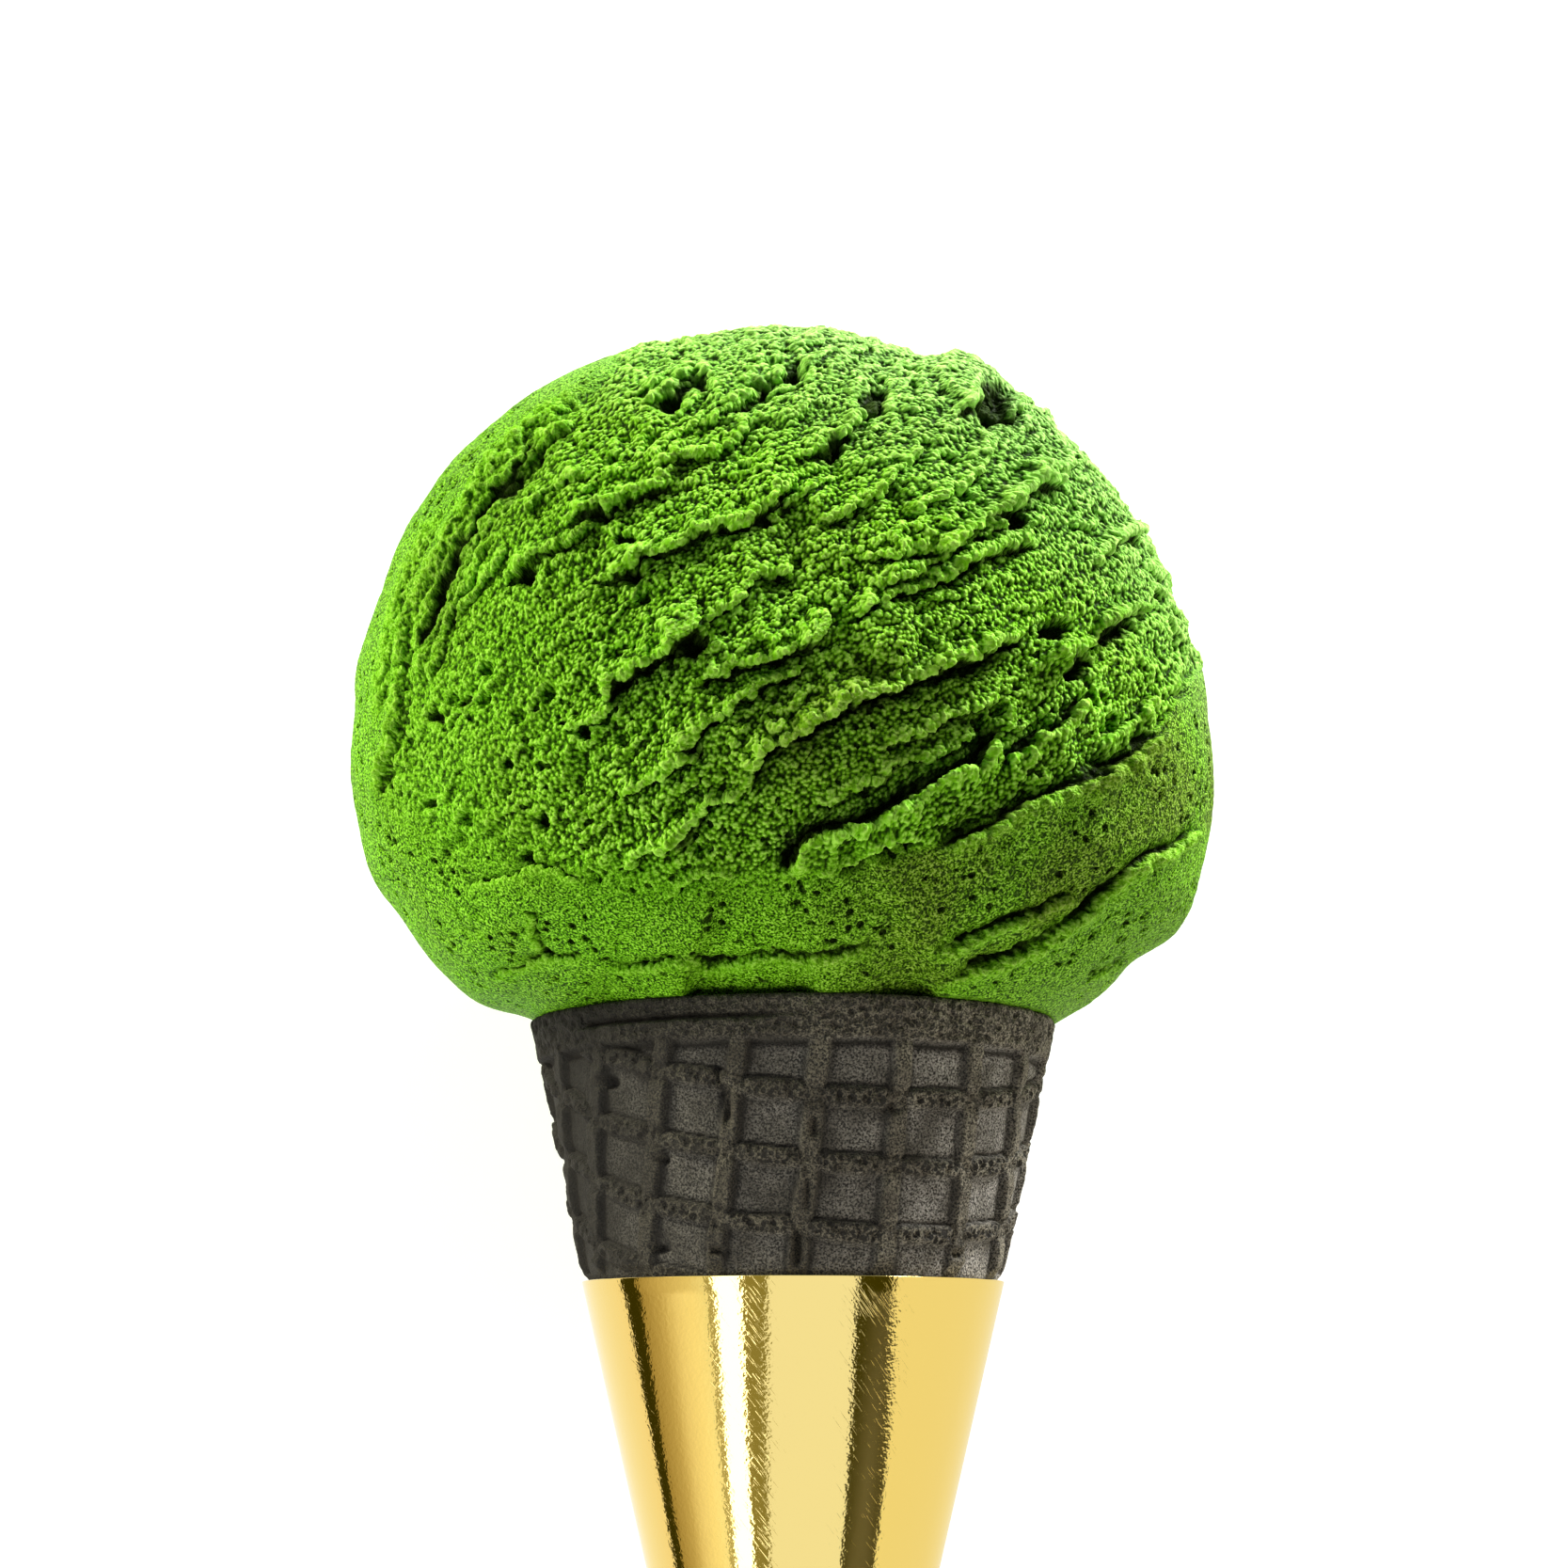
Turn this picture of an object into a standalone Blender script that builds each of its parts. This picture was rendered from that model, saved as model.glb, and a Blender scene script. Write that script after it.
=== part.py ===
"""Matcha gelato in a rolled waffle cone with a gold paper sleeve, lying on its back.

The three pieces are modelled standing on the tip, the front towards -Y, and one parent empty lays
them down. The back of the scoop, pressed flat where it touches, and the tip of the sleeve carry it.
"""

import math

import bpy
import numpy as np
from mathutils import Matrix, Vector, noise

MM = 0.001

# The cone: heights run up the axis from the point where the straight sides would meet.
LOWER_HALF_ANGLE = math.radians(13.1)
UPPER_HALF_ANGLE = math.radians(11.4)
SLEEVE_TOP = 79.2 * MM
RIM_HEIGHT = 102.0 * MM
TIP_BALL = 1.5 * MM
PAPER = 0.35 * MM
FIT_GAP = 0.3 * MM
WAFER = 2.6 * MM

# The waffle pattern, a square grid on the flat round of wafer before it was rolled.
GRID_AZIMUTH = math.radians(26.6)
RIB_SPACING_ACROSS = 7.7 * MM
RIB_SPACING_ALONG = 5.8 * MM
RIB_ALONG_OFFSET = 95.9 * MM
RIB_HALF_WIDTH = 0.9 * MM
CELL_DEPTH = 0.6 * MM
CELL_SLOPE = 0.8 * MM
RIM_BAND = 3.8 * MM
RIM_BAND_PROUD = 0.1 * MM
RIM_BAND_SLOPE = 0.6 * MM
RIM_EDGE_DROP = 0.2 * MM
RIM_EDGE_INSET = 0.3 * MM

# The edge of the outer turn of the wafer, which fades over the last part of the way round, and the
# stretch where the inner turn stands above it.
LAP_AT_RIM = math.radians(-53.0)
LAP_AT_SLEEVE = math.radians(-68.0)
LAP_STEP = 0.7 * MM
LAP_FADES_FROM = math.radians(300.0)
LAP_FADES_TO = math.radians(359.0)
INNER_TURN_END = math.radians(10.0)
INNER_TURN_RISE = 1.8 * MM

# Under the sleeve: the wafer's closed tip, the heights of its plain rings and, just above the
# sleeve's edge, where it swells out again. Inside: the mouth's straight part and the two hollows.
WAFER_TIP = 13.4 * MM
WAFER_TIP_RING = 14.0 * MM
WAFER_TIP_INSET = 1.2 * MM
WAFER_SLEEVED_RINGS = (16.0 * MM, 45.0 * MM)
WAFER_SWELLS_FROM = SLEEVE_TOP + 0.6 * MM
WAFER_SWELLS_TO = SLEEVE_TOP + 1.3 * MM
WAFER_INSIDE_RINGS = (RIM_HEIGHT, RIM_HEIGHT - 10.0 * MM, 55.0 * MM, 26.0 * MM)
WAFER_HOLLOW_END = 24.0 * MM
SLEEVE_EDGE_WAVE = 0.5 * MM
SLEEVE_HOLLOW_END = 10.5 * MM

# The scoop: centre above the rim and off the axis, depth from front to back, and the spot that it
# lies on: how far the soft back is pressed in, and how far the spot is ahead of the centre.
SCOOP_ABOVE_RIM = 20.8 * MM
SCOOP_OFF_AXIS = -0.9 * MM
SCOOP_HALF_DEPTH = 36.0 * MM
SCOOP_FULLNESS = 2.2
SEAT_RADIUS = 22.6 * MM
PLUG_DEPTH = 6.0 * MM
FLAT_DEPTH = 2.4 * MM
SPOT_AHEAD = 4.2 * MM
LOWEST_RING = math.radians(129.0)
SEAT_BLEND = math.radians(12.0)

# The scoop's outline from the front: degrees from the right, turning up, and millimetres out.
OUTLINE = (
    (0, 38.0), (20, 38.4), (38, 39.1), (48, 39.7), (56, 40.8), (66, 41.2), (75, 39.9), (88, 40.9),
    (100, 40.6), (118, 41.1), (134, 40.9), (146, 40.2), (158, 39.0), (178, 38.2), (189, 37.2),
    (203, 35.3), (212, 33.4), (224, 29.8), (236, 26.7), (262, 24.1), (292, 25.9), (312, 30.1),
    (320, 32.1), (330, 34.0), (344, 37.6),
)
OUTLINE_BLUR = math.radians(5.0)

# The point that the scoop's face is drawn from, in front of it and a little below.
SIGHT_DISTANCE = 450.0 * MM
SIGHT_DROP = math.radians(9.0)
SIGHT_AIM = np.array((0.12, 0.0, 0.38)) * MM

# Torn lips on the scoop's face: millimetres right of and above its centre, along the crest as seen
# from that point. Each has its height, the depth of the furrow beside it and the furrow's side: 1
# is left of the path.
LIPS = (
    ("skirt", 0.8, 1.4, -1, ((-36.2, -2.6), (-34.4, 4.8), (-32.8, 13.6), (-30.4, 19.9),
                             (-26.4, 27.0), (-19.4, 34.0), (-15.6, 37.1))),
    ("shoulder", 0.8, 1.4, -1, ((-25.6, 18.2), (-19.3, 21.9), (-16, 23.4))),
    ("brow", 0.8, 1.4, -1, ((-16.8, 18.6), (-8.5, 22.3), (-4.7, 23.4), (1.5, 27.8))),
    ("hook", 1.2, 1.8, -1, ((-16.4, 8.2), (-9.8, 13.2), (-6.8, 14.8), (-2.7, 18.6))),
    ("cheek", 1.0, 1.5, -1, ((-10.2, 3.2), (-4.7, 7.8), (1.5, 11.5), (4.0, 15.3))),
    ("flap", 0.9, 1.5, -1, ((6.1, 15.7), (14, 18.8), (19, 21.3), (25.7, 29.0))),
    ("tongue", 1.6, 2.4, -1, ((-3.1, -1.0), (-2.3, 2.8), (3.2, 6.1), (10.7, 9.4), (18.2, 12.3),
                              (22.3, 14.8))),
    ("shelf", 1.2, 2.4, 1, ((-0.6, -7.7), (3.2, -4.8), (12.3, -1.0), (19, 3.2), (20.7, 5.3))),
    ("ledge", 1.0, 1.8, 1, ((14, -5.2), (22.3, -1.4), (29, 1.5), (34.4, 5.7))),
    ("hem", 0.6, 1.2, 1, ((13.2, -14.8), (22.3, -11), (28.6, -8.9), (34, -6), (36.9, -3.5))),
    ("fold", 0.8, 1.3, -1, ((-14.8, -0.6), (-9.8, 1.9), (-7.7, 3.2))),
    ("crumple", 0.8, 1.5, -1, ((-13, -7), (-8.9, -3.9), (-6, -1), (-3.1, -1.2))),
    ("crack", 0.4, 0.9, 1, ((-16.8, -16.4), (-8, -16), (1.5, -16.8), (11.9, -13.5))),
    ("crown", 0.7, 1.4, -1, ((-12, 35), (-6, 36), (1, 38.2))),
    ("knob", 0.7, 1.4, -1, ((9, 35.5), (15, 37.5), (20.3, 34))),
)
LIP_FALL = 5.0 * MM
FURROW_WIDTH = 2.2 * MM
LIP_SHARPNESS = 0.9 * MM
FACE_DEPTH = 12.0 * MM

# The torn surface's unevenness: millimetres from swell to swell, and their heights.
BROAD_WAVE = 11.0
BROAD_HEIGHT = 0.6 * MM
TORN_WAVE = 5.0
TORN_HEIGHT = 0.5 * MM
TORN_SINK = 0.25 * MM
TORN_PHASE = Vector((7.0, 3.0, 1.0))

SCOOP_COLUMNS = 76
SCOOP_ROWS = 42
FRONT_CROWDING = 0.42
CONE_COLUMNS = 84
CONE_ROWS = 26
SLEEVE_COLUMNS = 48


def side_radius(height):
    """The outer radius of the cone and sleeve at a height: two straight tapers."""
    lower = np.minimum(height, SLEEVE_TOP) * math.tan(LOWER_HALF_ANGLE)
    return lower + np.maximum(height - SLEEVE_TOP, 0.0) * math.tan(UPPER_HALF_ANGLE)


def smooth_step(low, high, value):
    """Rises from 0 to 1 between low and high, level at both ends."""
    part = np.clip((value - low) / (high - low), 0.0, 1.0)
    return part * part * (3.0 - 2.0 * part)


def ring(radius, height, columns):
    """One closed ring of points, anticlockwise from the front; radius and height may vary."""
    azimuth = ring_azimuths(columns)
    points = np.empty((columns, 3))
    points[:, 0] = radius * np.sin(azimuth)
    points[:, 1] = -radius * np.cos(azimuth)
    points[:, 2] = height
    return points


def ring_azimuths(columns):
    """Angles round the axis from the front, growing to the right."""
    return np.arange(columns) * 2.0 * math.pi / columns - math.pi


def stack_of_rings(name, rings, first_pole, last_pole):
    """A closed skin over a stack of equal rings, shut by a fan of triangles at either pole."""
    columns = len(rings[0])
    points = np.vstack([first_pole, *rings, last_pole])
    last = len(points) - 1
    top = last - columns
    faces = []
    for j in range(columns):
        k = (j + 1) % columns
        faces.append((0, 1 + k, 1 + j))
        faces.append((last, top + j, top + k))
        for i in range(len(rings) - 1):
            low = 1 + i * columns
            faces.append((low + j, low + k, low + columns + k, low + columns + j))
    mesh = bpy.data.meshes.new(name)
    mesh.from_pydata(points.tolist(), [], faces)
    mesh.validate()
    mesh.shade_smooth()
    piece = bpy.data.objects.new(name, mesh)
    bpy.context.collection.objects.link(piece)
    return piece


def outline_radius(angle):
    """The outline's radius at an angle, blended smoothly between the named points."""
    total = np.zeros_like(angle)
    weight = np.zeros_like(angle)
    for degrees, radius in OUTLINE:
        away = np.angle(np.exp(1j * (angle - math.radians(degrees))))
        share = np.exp(-0.5 * (away / OUTLINE_BLUR) ** 2) + 1e-9
        total += share * radius * MM
        weight += share
    return total / weight


def scoop_body(direction):
    """Points on the plain scoop along unit directions: the outline from the front, full in depth."""
    flat = np.hypot(direction[:, 0], direction[:, 2])
    side = outline_radius(np.arctan2(direction[:, 2], direction[:, 0]))
    depth = np.abs(direction[:, 1]) / SCOOP_HALF_DEPTH
    reach = ((flat / side) ** SCOOP_FULLNESS + depth**SCOOP_FULLNESS) ** (-1.0 / SCOOP_FULLNESS)
    return direction * reach[:, None]


def as_seen(points):
    """Where points are seen from in front: across and up on the plane through the scoop's centre."""
    away = points - SIGHT_AIM
    toward = np.array((0.0, -math.cos(SIGHT_DROP), -math.sin(SIGHT_DROP)))
    upward = np.array((0.0, -math.sin(SIGHT_DROP), math.cos(SIGHT_DROP)))
    nearness = SIGHT_DISTANCE / (SIGHT_DISTANCE - away @ toward)
    return away[:, 0] * nearness + SIGHT_AIM[0], away @ upward * nearness + SIGHT_AIM[2]


def beside_path(across, up, path):
    """Signed distance to a path, positive on its left, and the share of the path passed."""
    best = np.full(across.shape, 1e9)
    signed = np.zeros_like(across)
    passed = np.zeros_like(across)
    steps = len(path) - 1
    for i, (a, b) in enumerate(zip(path[:-1], path[1:])):
        run = ((b[0] - a[0]) * MM, (b[1] - a[1]) * MM)
        off = (across - a[0] * MM, up - a[1] * MM)
        length_2 = run[0] ** 2 + run[1] ** 2
        along = np.clip((off[0] * run[0] + off[1] * run[1]) / length_2, 0.0, 1.0)
        gap = np.hypot(off[0] - along * run[0], off[1] - along * run[1])
        turn = run[0] * off[1] - run[1] * off[0]
        nearer = gap < best
        best = np.where(nearer, gap, best)
        signed = np.where(nearer, np.where(turn > 0, gap, -gap), signed)
        passed = np.where(nearer, (i + along) / steps, passed)
    return signed, passed


def lip_height(points):
    """Height of the torn lips: each falls off slowly behind its crest and drops to a furrow."""
    total = np.zeros(len(points))
    across, up = as_seen(points)
    for _, crest, furrow, side, path in LIPS:
        signed, passed = beside_path(across, up, path)
        behind = -side * signed
        ends = smooth_step(0.0, 0.15, passed) * smooth_step(1.0, 0.85, passed)
        over = smooth_step(-LIP_SHARPNESS, LIP_SHARPNESS, behind)
        body = crest * MM * np.exp(-np.maximum(behind, 0.0) / LIP_FALL)
        gully = -furrow * MM * np.exp(np.minimum(behind, 0.0) / FURROW_WIDTH)
        total += ends * (over * body + (1.0 - over) * gully)
    return total * smooth_step(0.0, -FACE_DEPTH, points[:, 1])


def rough_height(points):
    """Coarse unevenness of the torn surface, from two scales of ridged noise."""
    result = np.empty(len(points))
    for i, point in enumerate(points):
        place = Vector(point) / MM
        broad = noise.noise(place / BROAD_WAVE)
        torn = 1.0 - abs(noise.noise(place / TORN_WAVE + TORN_PHASE)) * 2.0
        result[i] = BROAD_HEIGHT * broad + TORN_HEIGHT * torn - TORN_SINK
    return result


def crowded_azimuths():
    """Angles round the scoop, closer together towards its face."""
    even = ring_azimuths(SCOOP_COLUMNS)
    return even - FRONT_CROWDING * np.sin(even)


def scoop_rings():
    """Rings of the scoop about its centre, from just above the rim to the crown."""
    azimuth = crowded_azimuths()
    rings = []
    for i in range(SCOOP_ROWS):
        polar = LOWEST_RING * (1.0 - i / SCOOP_ROWS)
        direction = np.empty((SCOOP_COLUMNS, 3))
        direction[:, 0] = math.sin(polar) * np.sin(azimuth)
        direction[:, 1] = -math.sin(polar) * np.cos(azimuth)
        direction[:, 2] = math.cos(polar)
        points = scoop_body(direction)
        height = lip_height(points) + rough_height(points)
        height *= smooth_step(LOWEST_RING, LOWEST_RING - SEAT_BLEND, polar)
        rings.append(points + direction * height[:, None])
    return rings


def build_gelato():
    """The scoop: a plug in the mouth of the cone, a seat on its rim and the torn ball above."""
    azimuth = crowded_azimuths()
    plug = side_radius(RIM_HEIGHT) - WAFER - FIT_GAP
    plug_low = side_radius(RIM_HEIGHT - PLUG_DEPTH) - WAFER - FIT_GAP
    seat = RIM_HEIGHT + FIT_GAP
    rings = []
    for radius, height in ((plug_low, RIM_HEIGHT - PLUG_DEPTH), (plug, seat), (SEAT_RADIUS, seat)):
        circle = np.empty((SCOOP_COLUMNS, 3))
        circle[:, 0] = radius * np.sin(azimuth)
        circle[:, 1] = -radius * np.cos(azimuth)
        circle[:, 2] = height
        rings.append(circle)
    centre = np.array((SCOOP_OFF_AXIS, 0.0, RIM_HEIGHT + SCOOP_ABOVE_RIM))
    rings += [part + centre for part in scoop_rings()]
    crown = scoop_body(np.array(((0.0, 0.0, 1.0),)))[0] + centre
    bottom = np.array((0.0, 0.0, RIM_HEIGHT - PLUG_DEPTH))
    return stack_of_rings("gelato", rings, bottom, crown)


def waffle_relief(azimuth, height):
    """How far the wafer is pressed in: nothing on the ribs, the cell's depth between them."""
    slant = height / math.cos(LOWER_HALF_ANGLE)
    unrolled = (azimuth - GRID_AZIMUTH) * math.sin(LOWER_HALF_ANGLE)
    across = slant * np.sin(unrolled)
    along = slant * np.cos(unrolled) - RIB_ALONG_OFFSET
    off_across = np.abs(across - RIB_SPACING_ACROSS * np.round(across / RIB_SPACING_ACROSS))
    off_along = np.abs(along - RIB_SPACING_ALONG * np.round(along / RIB_SPACING_ALONG))
    off_rib = np.minimum(off_across, off_along)
    return CELL_DEPTH * smooth_step(RIB_HALF_WIDTH, RIB_HALF_WIDTH + CELL_SLOPE, off_rib)


def wafer_outside(azimuth, height):
    """The wafer's outer radius: pressed cells, a band at the rim and the step of the outer turn."""
    radius = side_radius(height) + np.zeros_like(azimuth)
    in_band = smooth_step(RIM_HEIGHT - RIM_BAND, RIM_HEIGHT - RIM_BAND + RIM_BAND_SLOPE, height)
    radius -= waffle_relief(azimuth, height) * (1.0 - in_band)
    radius += RIM_BAND_PROUD * in_band
    lap = np.interp(height, (SLEEVE_TOP, RIM_HEIGHT), (LAP_AT_SLEEVE, LAP_AT_RIM))
    past_lap = np.mod(azimuth - lap, 2.0 * math.pi)
    radius -= LAP_STEP * smooth_step(LAP_FADES_FROM, LAP_FADES_TO, past_lap)
    inner_span = INNER_TURN_END - LAP_AT_RIM
    showing = 1.0 - smooth_step(0.8 * inner_span, inner_span, past_lap)
    above = height > RIM_HEIGHT - INNER_TURN_RISE
    return radius - LAP_STEP * showing * above


def build_waffle_cone():
    """The rolled wafer: an open cup, ribbed above the sleeve and plain inside it."""
    azimuth = ring_azimuths(CONE_COLUMNS)
    sleeved = PAPER + FIT_GAP
    rings = []
    blunt = side_radius(WAFER_TIP_RING) - sleeved - WAFER_TIP_INSET
    rings.append(ring(blunt, WAFER_TIP_RING, CONE_COLUMNS))
    for height in (*WAFER_SLEEVED_RINGS, WAFER_SWELLS_FROM):
        rings.append(ring(side_radius(height) - sleeved, height, CONE_COLUMNS))
    for height in np.linspace(WAFER_SWELLS_TO, RIM_HEIGHT - RIM_EDGE_DROP, CONE_ROWS):
        rings.append(ring(wafer_outside(azimuth, height), height, CONE_COLUMNS))
    outer = wafer_outside(azimuth, RIM_HEIGHT) - RIM_EDGE_INSET
    rings.append(ring(outer, RIM_HEIGHT, CONE_COLUMNS))
    for height in WAFER_INSIDE_RINGS:
        rings.append(ring(side_radius(height) - WAFER, height, CONE_COLUMNS))
    tip = np.array((0.0, 0.0, WAFER_TIP))
    hollow_end = np.array((0.0, 0.0, WAFER_HOLLOW_END))
    return stack_of_rings("waffle_cone", rings, tip, hollow_end)


def build_foil_sleeve():
    """The paper sleeve: a thin straight cone with a small ball at its tip and a level-cut top."""
    azimuth = ring_azimuths(SLEEVE_COLUMNS)
    ball_height = TIP_BALL / math.sin(LOWER_HALF_ANGLE)
    rings = []
    for degrees in (28.0, 55.0, 77.0):
        turn = math.radians(degrees)
        height = ball_height - TIP_BALL * math.cos(turn)
        rings.append(ring(TIP_BALL * math.sin(turn), height, SLEEVE_COLUMNS))
    top = SLEEVE_TOP - SLEEVE_EDGE_WAVE * np.cos(azimuth)
    for share in (0.15, 0.4, 0.7, 1.0):
        height = top * share
        rings.append(ring(side_radius(height), height, SLEEVE_COLUMNS))
    for share in (1.0, 0.7, 0.4, 0.16):
        height = top * share
        rings.append(ring(side_radius(height) - PAPER, height, SLEEVE_COLUMNS))
    outer_pole = np.array((0.0, 0.0, ball_height - TIP_BALL))
    inner_pole = np.array((0.0, 0.0, SLEEVE_HOLLOW_END))
    return stack_of_rings("foil_sleeve", rings, outer_pole, inner_pole)


def give_material(piece, name, colour, roughness, metallic):
    """One plain principled material, from a linear colour."""
    material = bpy.data.materials.new(name)
    material.use_nodes = True
    shader = material.node_tree.nodes["Principled BSDF"]
    shader.inputs["Base Color"].default_value = (*colour, 1.0)
    shader.inputs["Roughness"].default_value = roughness
    shader.inputs["Metallic"].default_value = metallic
    piece.data.materials.append(material)


def lay_down(pieces):
    """Turn the cone face up under one empty, resting on the scoop's back and the sleeve's tip."""
    ball_height = TIP_BALL / math.sin(LOWER_HALF_ANGLE)
    centre_height = RIM_HEIGHT + SCOOP_ABOVE_RIM
    rise = SCOOP_HALF_DEPTH - FLAT_DEPTH - TIP_BALL
    tilt = math.asin(rise / (centre_height - ball_height))
    turn = Matrix.Rotation(tilt - math.pi / 2.0, 4, "X")
    centre = turn @ Vector((SCOOP_OFF_AXIS, 0.0, centre_height))
    centre += Vector((0.0, SPOT_AHEAD, FLAT_DEPTH - SCOOP_HALF_DEPTH))
    pose = bpy.data.objects.new("lying_pose", None)
    bpy.context.collection.objects.link(pose)
    pose.matrix_world = Matrix.Translation(-centre) @ turn
    for piece in pieces:
        piece.parent = pose
    return pose.matrix_world.copy()


def press_flat(piece, pose):
    """Flatten what would reach under the floor, as soft gelato does where it rests."""
    back = pose.inverted()
    for vertex in piece.data.vertices:
        placed = pose @ vertex.co
        if placed.z < 0.0:
            placed.z = 0.0
            vertex.co = back @ placed


for old in list(bpy.data.objects):
    bpy.data.objects.remove(old)

gelato = build_gelato()
waffle_cone = build_waffle_cone()
foil_sleeve = build_foil_sleeve()
give_material(gelato, "matcha gelato", (0.10, 0.33, 0.03), 0.55, 0.0)
give_material(waffle_cone, "charcoal wafer", (0.05, 0.045, 0.035), 0.7, 0.0)
give_material(foil_sleeve, "gold foil paper", (0.85, 0.62, 0.18), 0.22, 1.0)
lying = lay_down((gelato, waffle_cone, foil_sleeve))
press_flat(gelato, lying)
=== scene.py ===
"""The looks of a matcha gelato cone that lies on its back: gelato, charcoal wafer and gold sleeve."""

import math

import bpy
import numpy as np
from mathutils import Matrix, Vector


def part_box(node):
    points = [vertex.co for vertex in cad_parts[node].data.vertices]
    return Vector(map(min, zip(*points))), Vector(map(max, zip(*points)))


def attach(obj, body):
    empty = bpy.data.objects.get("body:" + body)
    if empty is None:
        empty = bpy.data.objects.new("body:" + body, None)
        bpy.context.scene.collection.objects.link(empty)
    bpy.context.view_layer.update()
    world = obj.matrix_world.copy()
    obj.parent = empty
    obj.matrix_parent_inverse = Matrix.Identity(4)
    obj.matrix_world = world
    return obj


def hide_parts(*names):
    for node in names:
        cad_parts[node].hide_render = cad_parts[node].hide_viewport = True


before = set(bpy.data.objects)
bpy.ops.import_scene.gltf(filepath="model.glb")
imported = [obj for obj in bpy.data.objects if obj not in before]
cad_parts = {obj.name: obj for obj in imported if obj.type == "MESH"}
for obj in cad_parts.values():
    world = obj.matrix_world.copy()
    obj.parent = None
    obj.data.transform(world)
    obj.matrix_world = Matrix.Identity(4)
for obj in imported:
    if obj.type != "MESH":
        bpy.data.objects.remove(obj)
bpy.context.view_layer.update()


# The lying cone. It was modelled standing on its tip with its front towards -Y, in millimetres,
# and is laid back until the scoop's flattened back and the sleeve's tip touch the table.
MM = 0.001
RIM_HEIGHT = 102.0
SLEEVE_TOP = 79.2
LOWER_HALF_ANGLE = math.radians(13.1)
UPPER_HALF_ANGLE = math.radians(11.4)
TIP_BALL = 1.5
SCOOP_HALF_DEPTH = 36.0
SEAT_BELOW_CENTRE = 20.8
SCOOP_CENTRE = np.array((-0.9, 0.0, RIM_HEIGHT + SEAT_BELOW_CENTRE))
FLAT_DEPTH = 2.4
SPOT_AHEAD = 4.2
BALL_HEIGHT = TIP_BALL / math.sin(LOWER_HALF_ANGLE)
TILT = math.asin((SCOOP_HALF_DEPTH - FLAT_DEPTH - TIP_BALL) / (SCOOP_CENTRE[2] - BALL_HEIGHT))
CENTRE_ON_TABLE = np.array((0.0, -SPOT_AHEAD, SCOOP_HALF_DEPTH - FLAT_DEPTH))


def turned_back(arrows):
    """Turns standing directions about X until the front faces up, leaning back by the tilt."""
    across, depth, up = np.atleast_2d(arrows).T
    along = depth * math.sin(TILT) + up * math.cos(TILT)
    above = up * math.sin(TILT) - depth * math.cos(TILT)
    return np.column_stack((across, along, above))


def on_table(points):
    """Carries standing millimetres to the table's metres: turned back about the scoop's centre."""
    return (turned_back(points - SCOOP_CENTRE) + CENTRE_ON_TABLE) * MM


def linear(colour):
    """An sRGB hex colour as linear red, green, blue and a full alpha."""
    parts = [int(colour[i : i + 2], 16) / 255.0 for i in (1, 3, 5)]
    return [c / 12.92 if c <= 0.04045 else ((c + 0.055) / 1.055) ** 2.4 for c in parts] + [1.0]


def add_node(tree, kind, sockets=None, **settings):
    """Adds one shader node. Its sockets take values, or are linked where they get another socket
    or another node, which then gives its first output in use."""
    made = tree.nodes.new("ShaderNode" + kind)
    for name, value in settings.items():
        setattr(made, name, value)
    for name, value in (sockets or {}).items():
        if isinstance(value, bpy.types.Node):
            value = next(output for output in value.outputs if output.enabled)
        if isinstance(value, bpy.types.NodeSocket):
            tree.links.new(value, made.inputs[name])
        else:
            made.inputs[name].default_value = value
    return made


def new_surface(name, points, faces, **values):
    """One object from points and corner numbers, shaded smooth, with one value a point by name."""
    mesh = bpy.data.meshes.new(name)
    mesh.from_pydata(points, [], faces)
    mesh.shade_smooth()
    for title, numbers in values.items():
        mesh.attributes.new(title, "FLOAT", "POINT").data.foreach_set("value", numbers)
    made = bpy.data.objects.new(name, mesh)
    bpy.context.collection.objects.link(made)
    return made


def new_material(name, add_finish):
    """A material whose surface is the shader that one function adds to its tree and returns."""
    material = bpy.data.materials.new(name)
    material.use_nodes = True
    tree = material.node_tree
    tree.nodes.clear()
    add_node(tree, "OutputMaterial", {"Surface": add_finish(tree)})
    return material


# The table and the light: a white tabletop under soft light from the upper left and behind, and
# round the cone a tent of light and dark strips that only mirror-like surfaces see, as for metal.
LAMP_DISTANCE = 0.7
CAMERA_DISTANCE = 0.450
CAMERA_SWING = math.radians(-9.0)
PIXELS_PER_MM = 12.0
FRAME_PIXELS = 1667.0
SENSOR = 36.0
AIM_OFFSET = np.array((0.12, 0.0, 0.38))


def table_top(tree):
    """White melamine: matt and even, lit a little from within so that its shadows stay faint."""
    return add_node(tree, "BsdfPrincipled", {
        "Base Color": linear("#D8D8D6"), "Roughness": 0.85,
        "Emission Color": linear("#FFFFFF"), "Emission Strength": 0.62,
    })


floor = new_surface("table", [(-4, -4, 0), (4, -4, 0), (4, 4, 0), (-4, 4, 0)], [(0, 1, 2, 3)])
floor.data.materials.append(new_material("white melamine", table_top))
floor.visible_glossy = False

world = bpy.data.worlds.new("studio")
world.use_nodes = True
bpy.context.scene.world = world
world_tree = world.node_tree
world_tree.nodes.clear()
ray = add_node(world_tree, "LightPath")
fill_level = add_node(world_tree, "MapRange", {
    "Value": ray.outputs["Is Glossy Ray"], "To Min": 0.12, "To Max": 0.92,
})
backdrop = add_node(world_tree, "Background", {"Color": linear("#FFFFFF"), "Strength": fill_level})
add_node(world_tree, "OutputWorld", {"Surface": backdrop})


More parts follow.
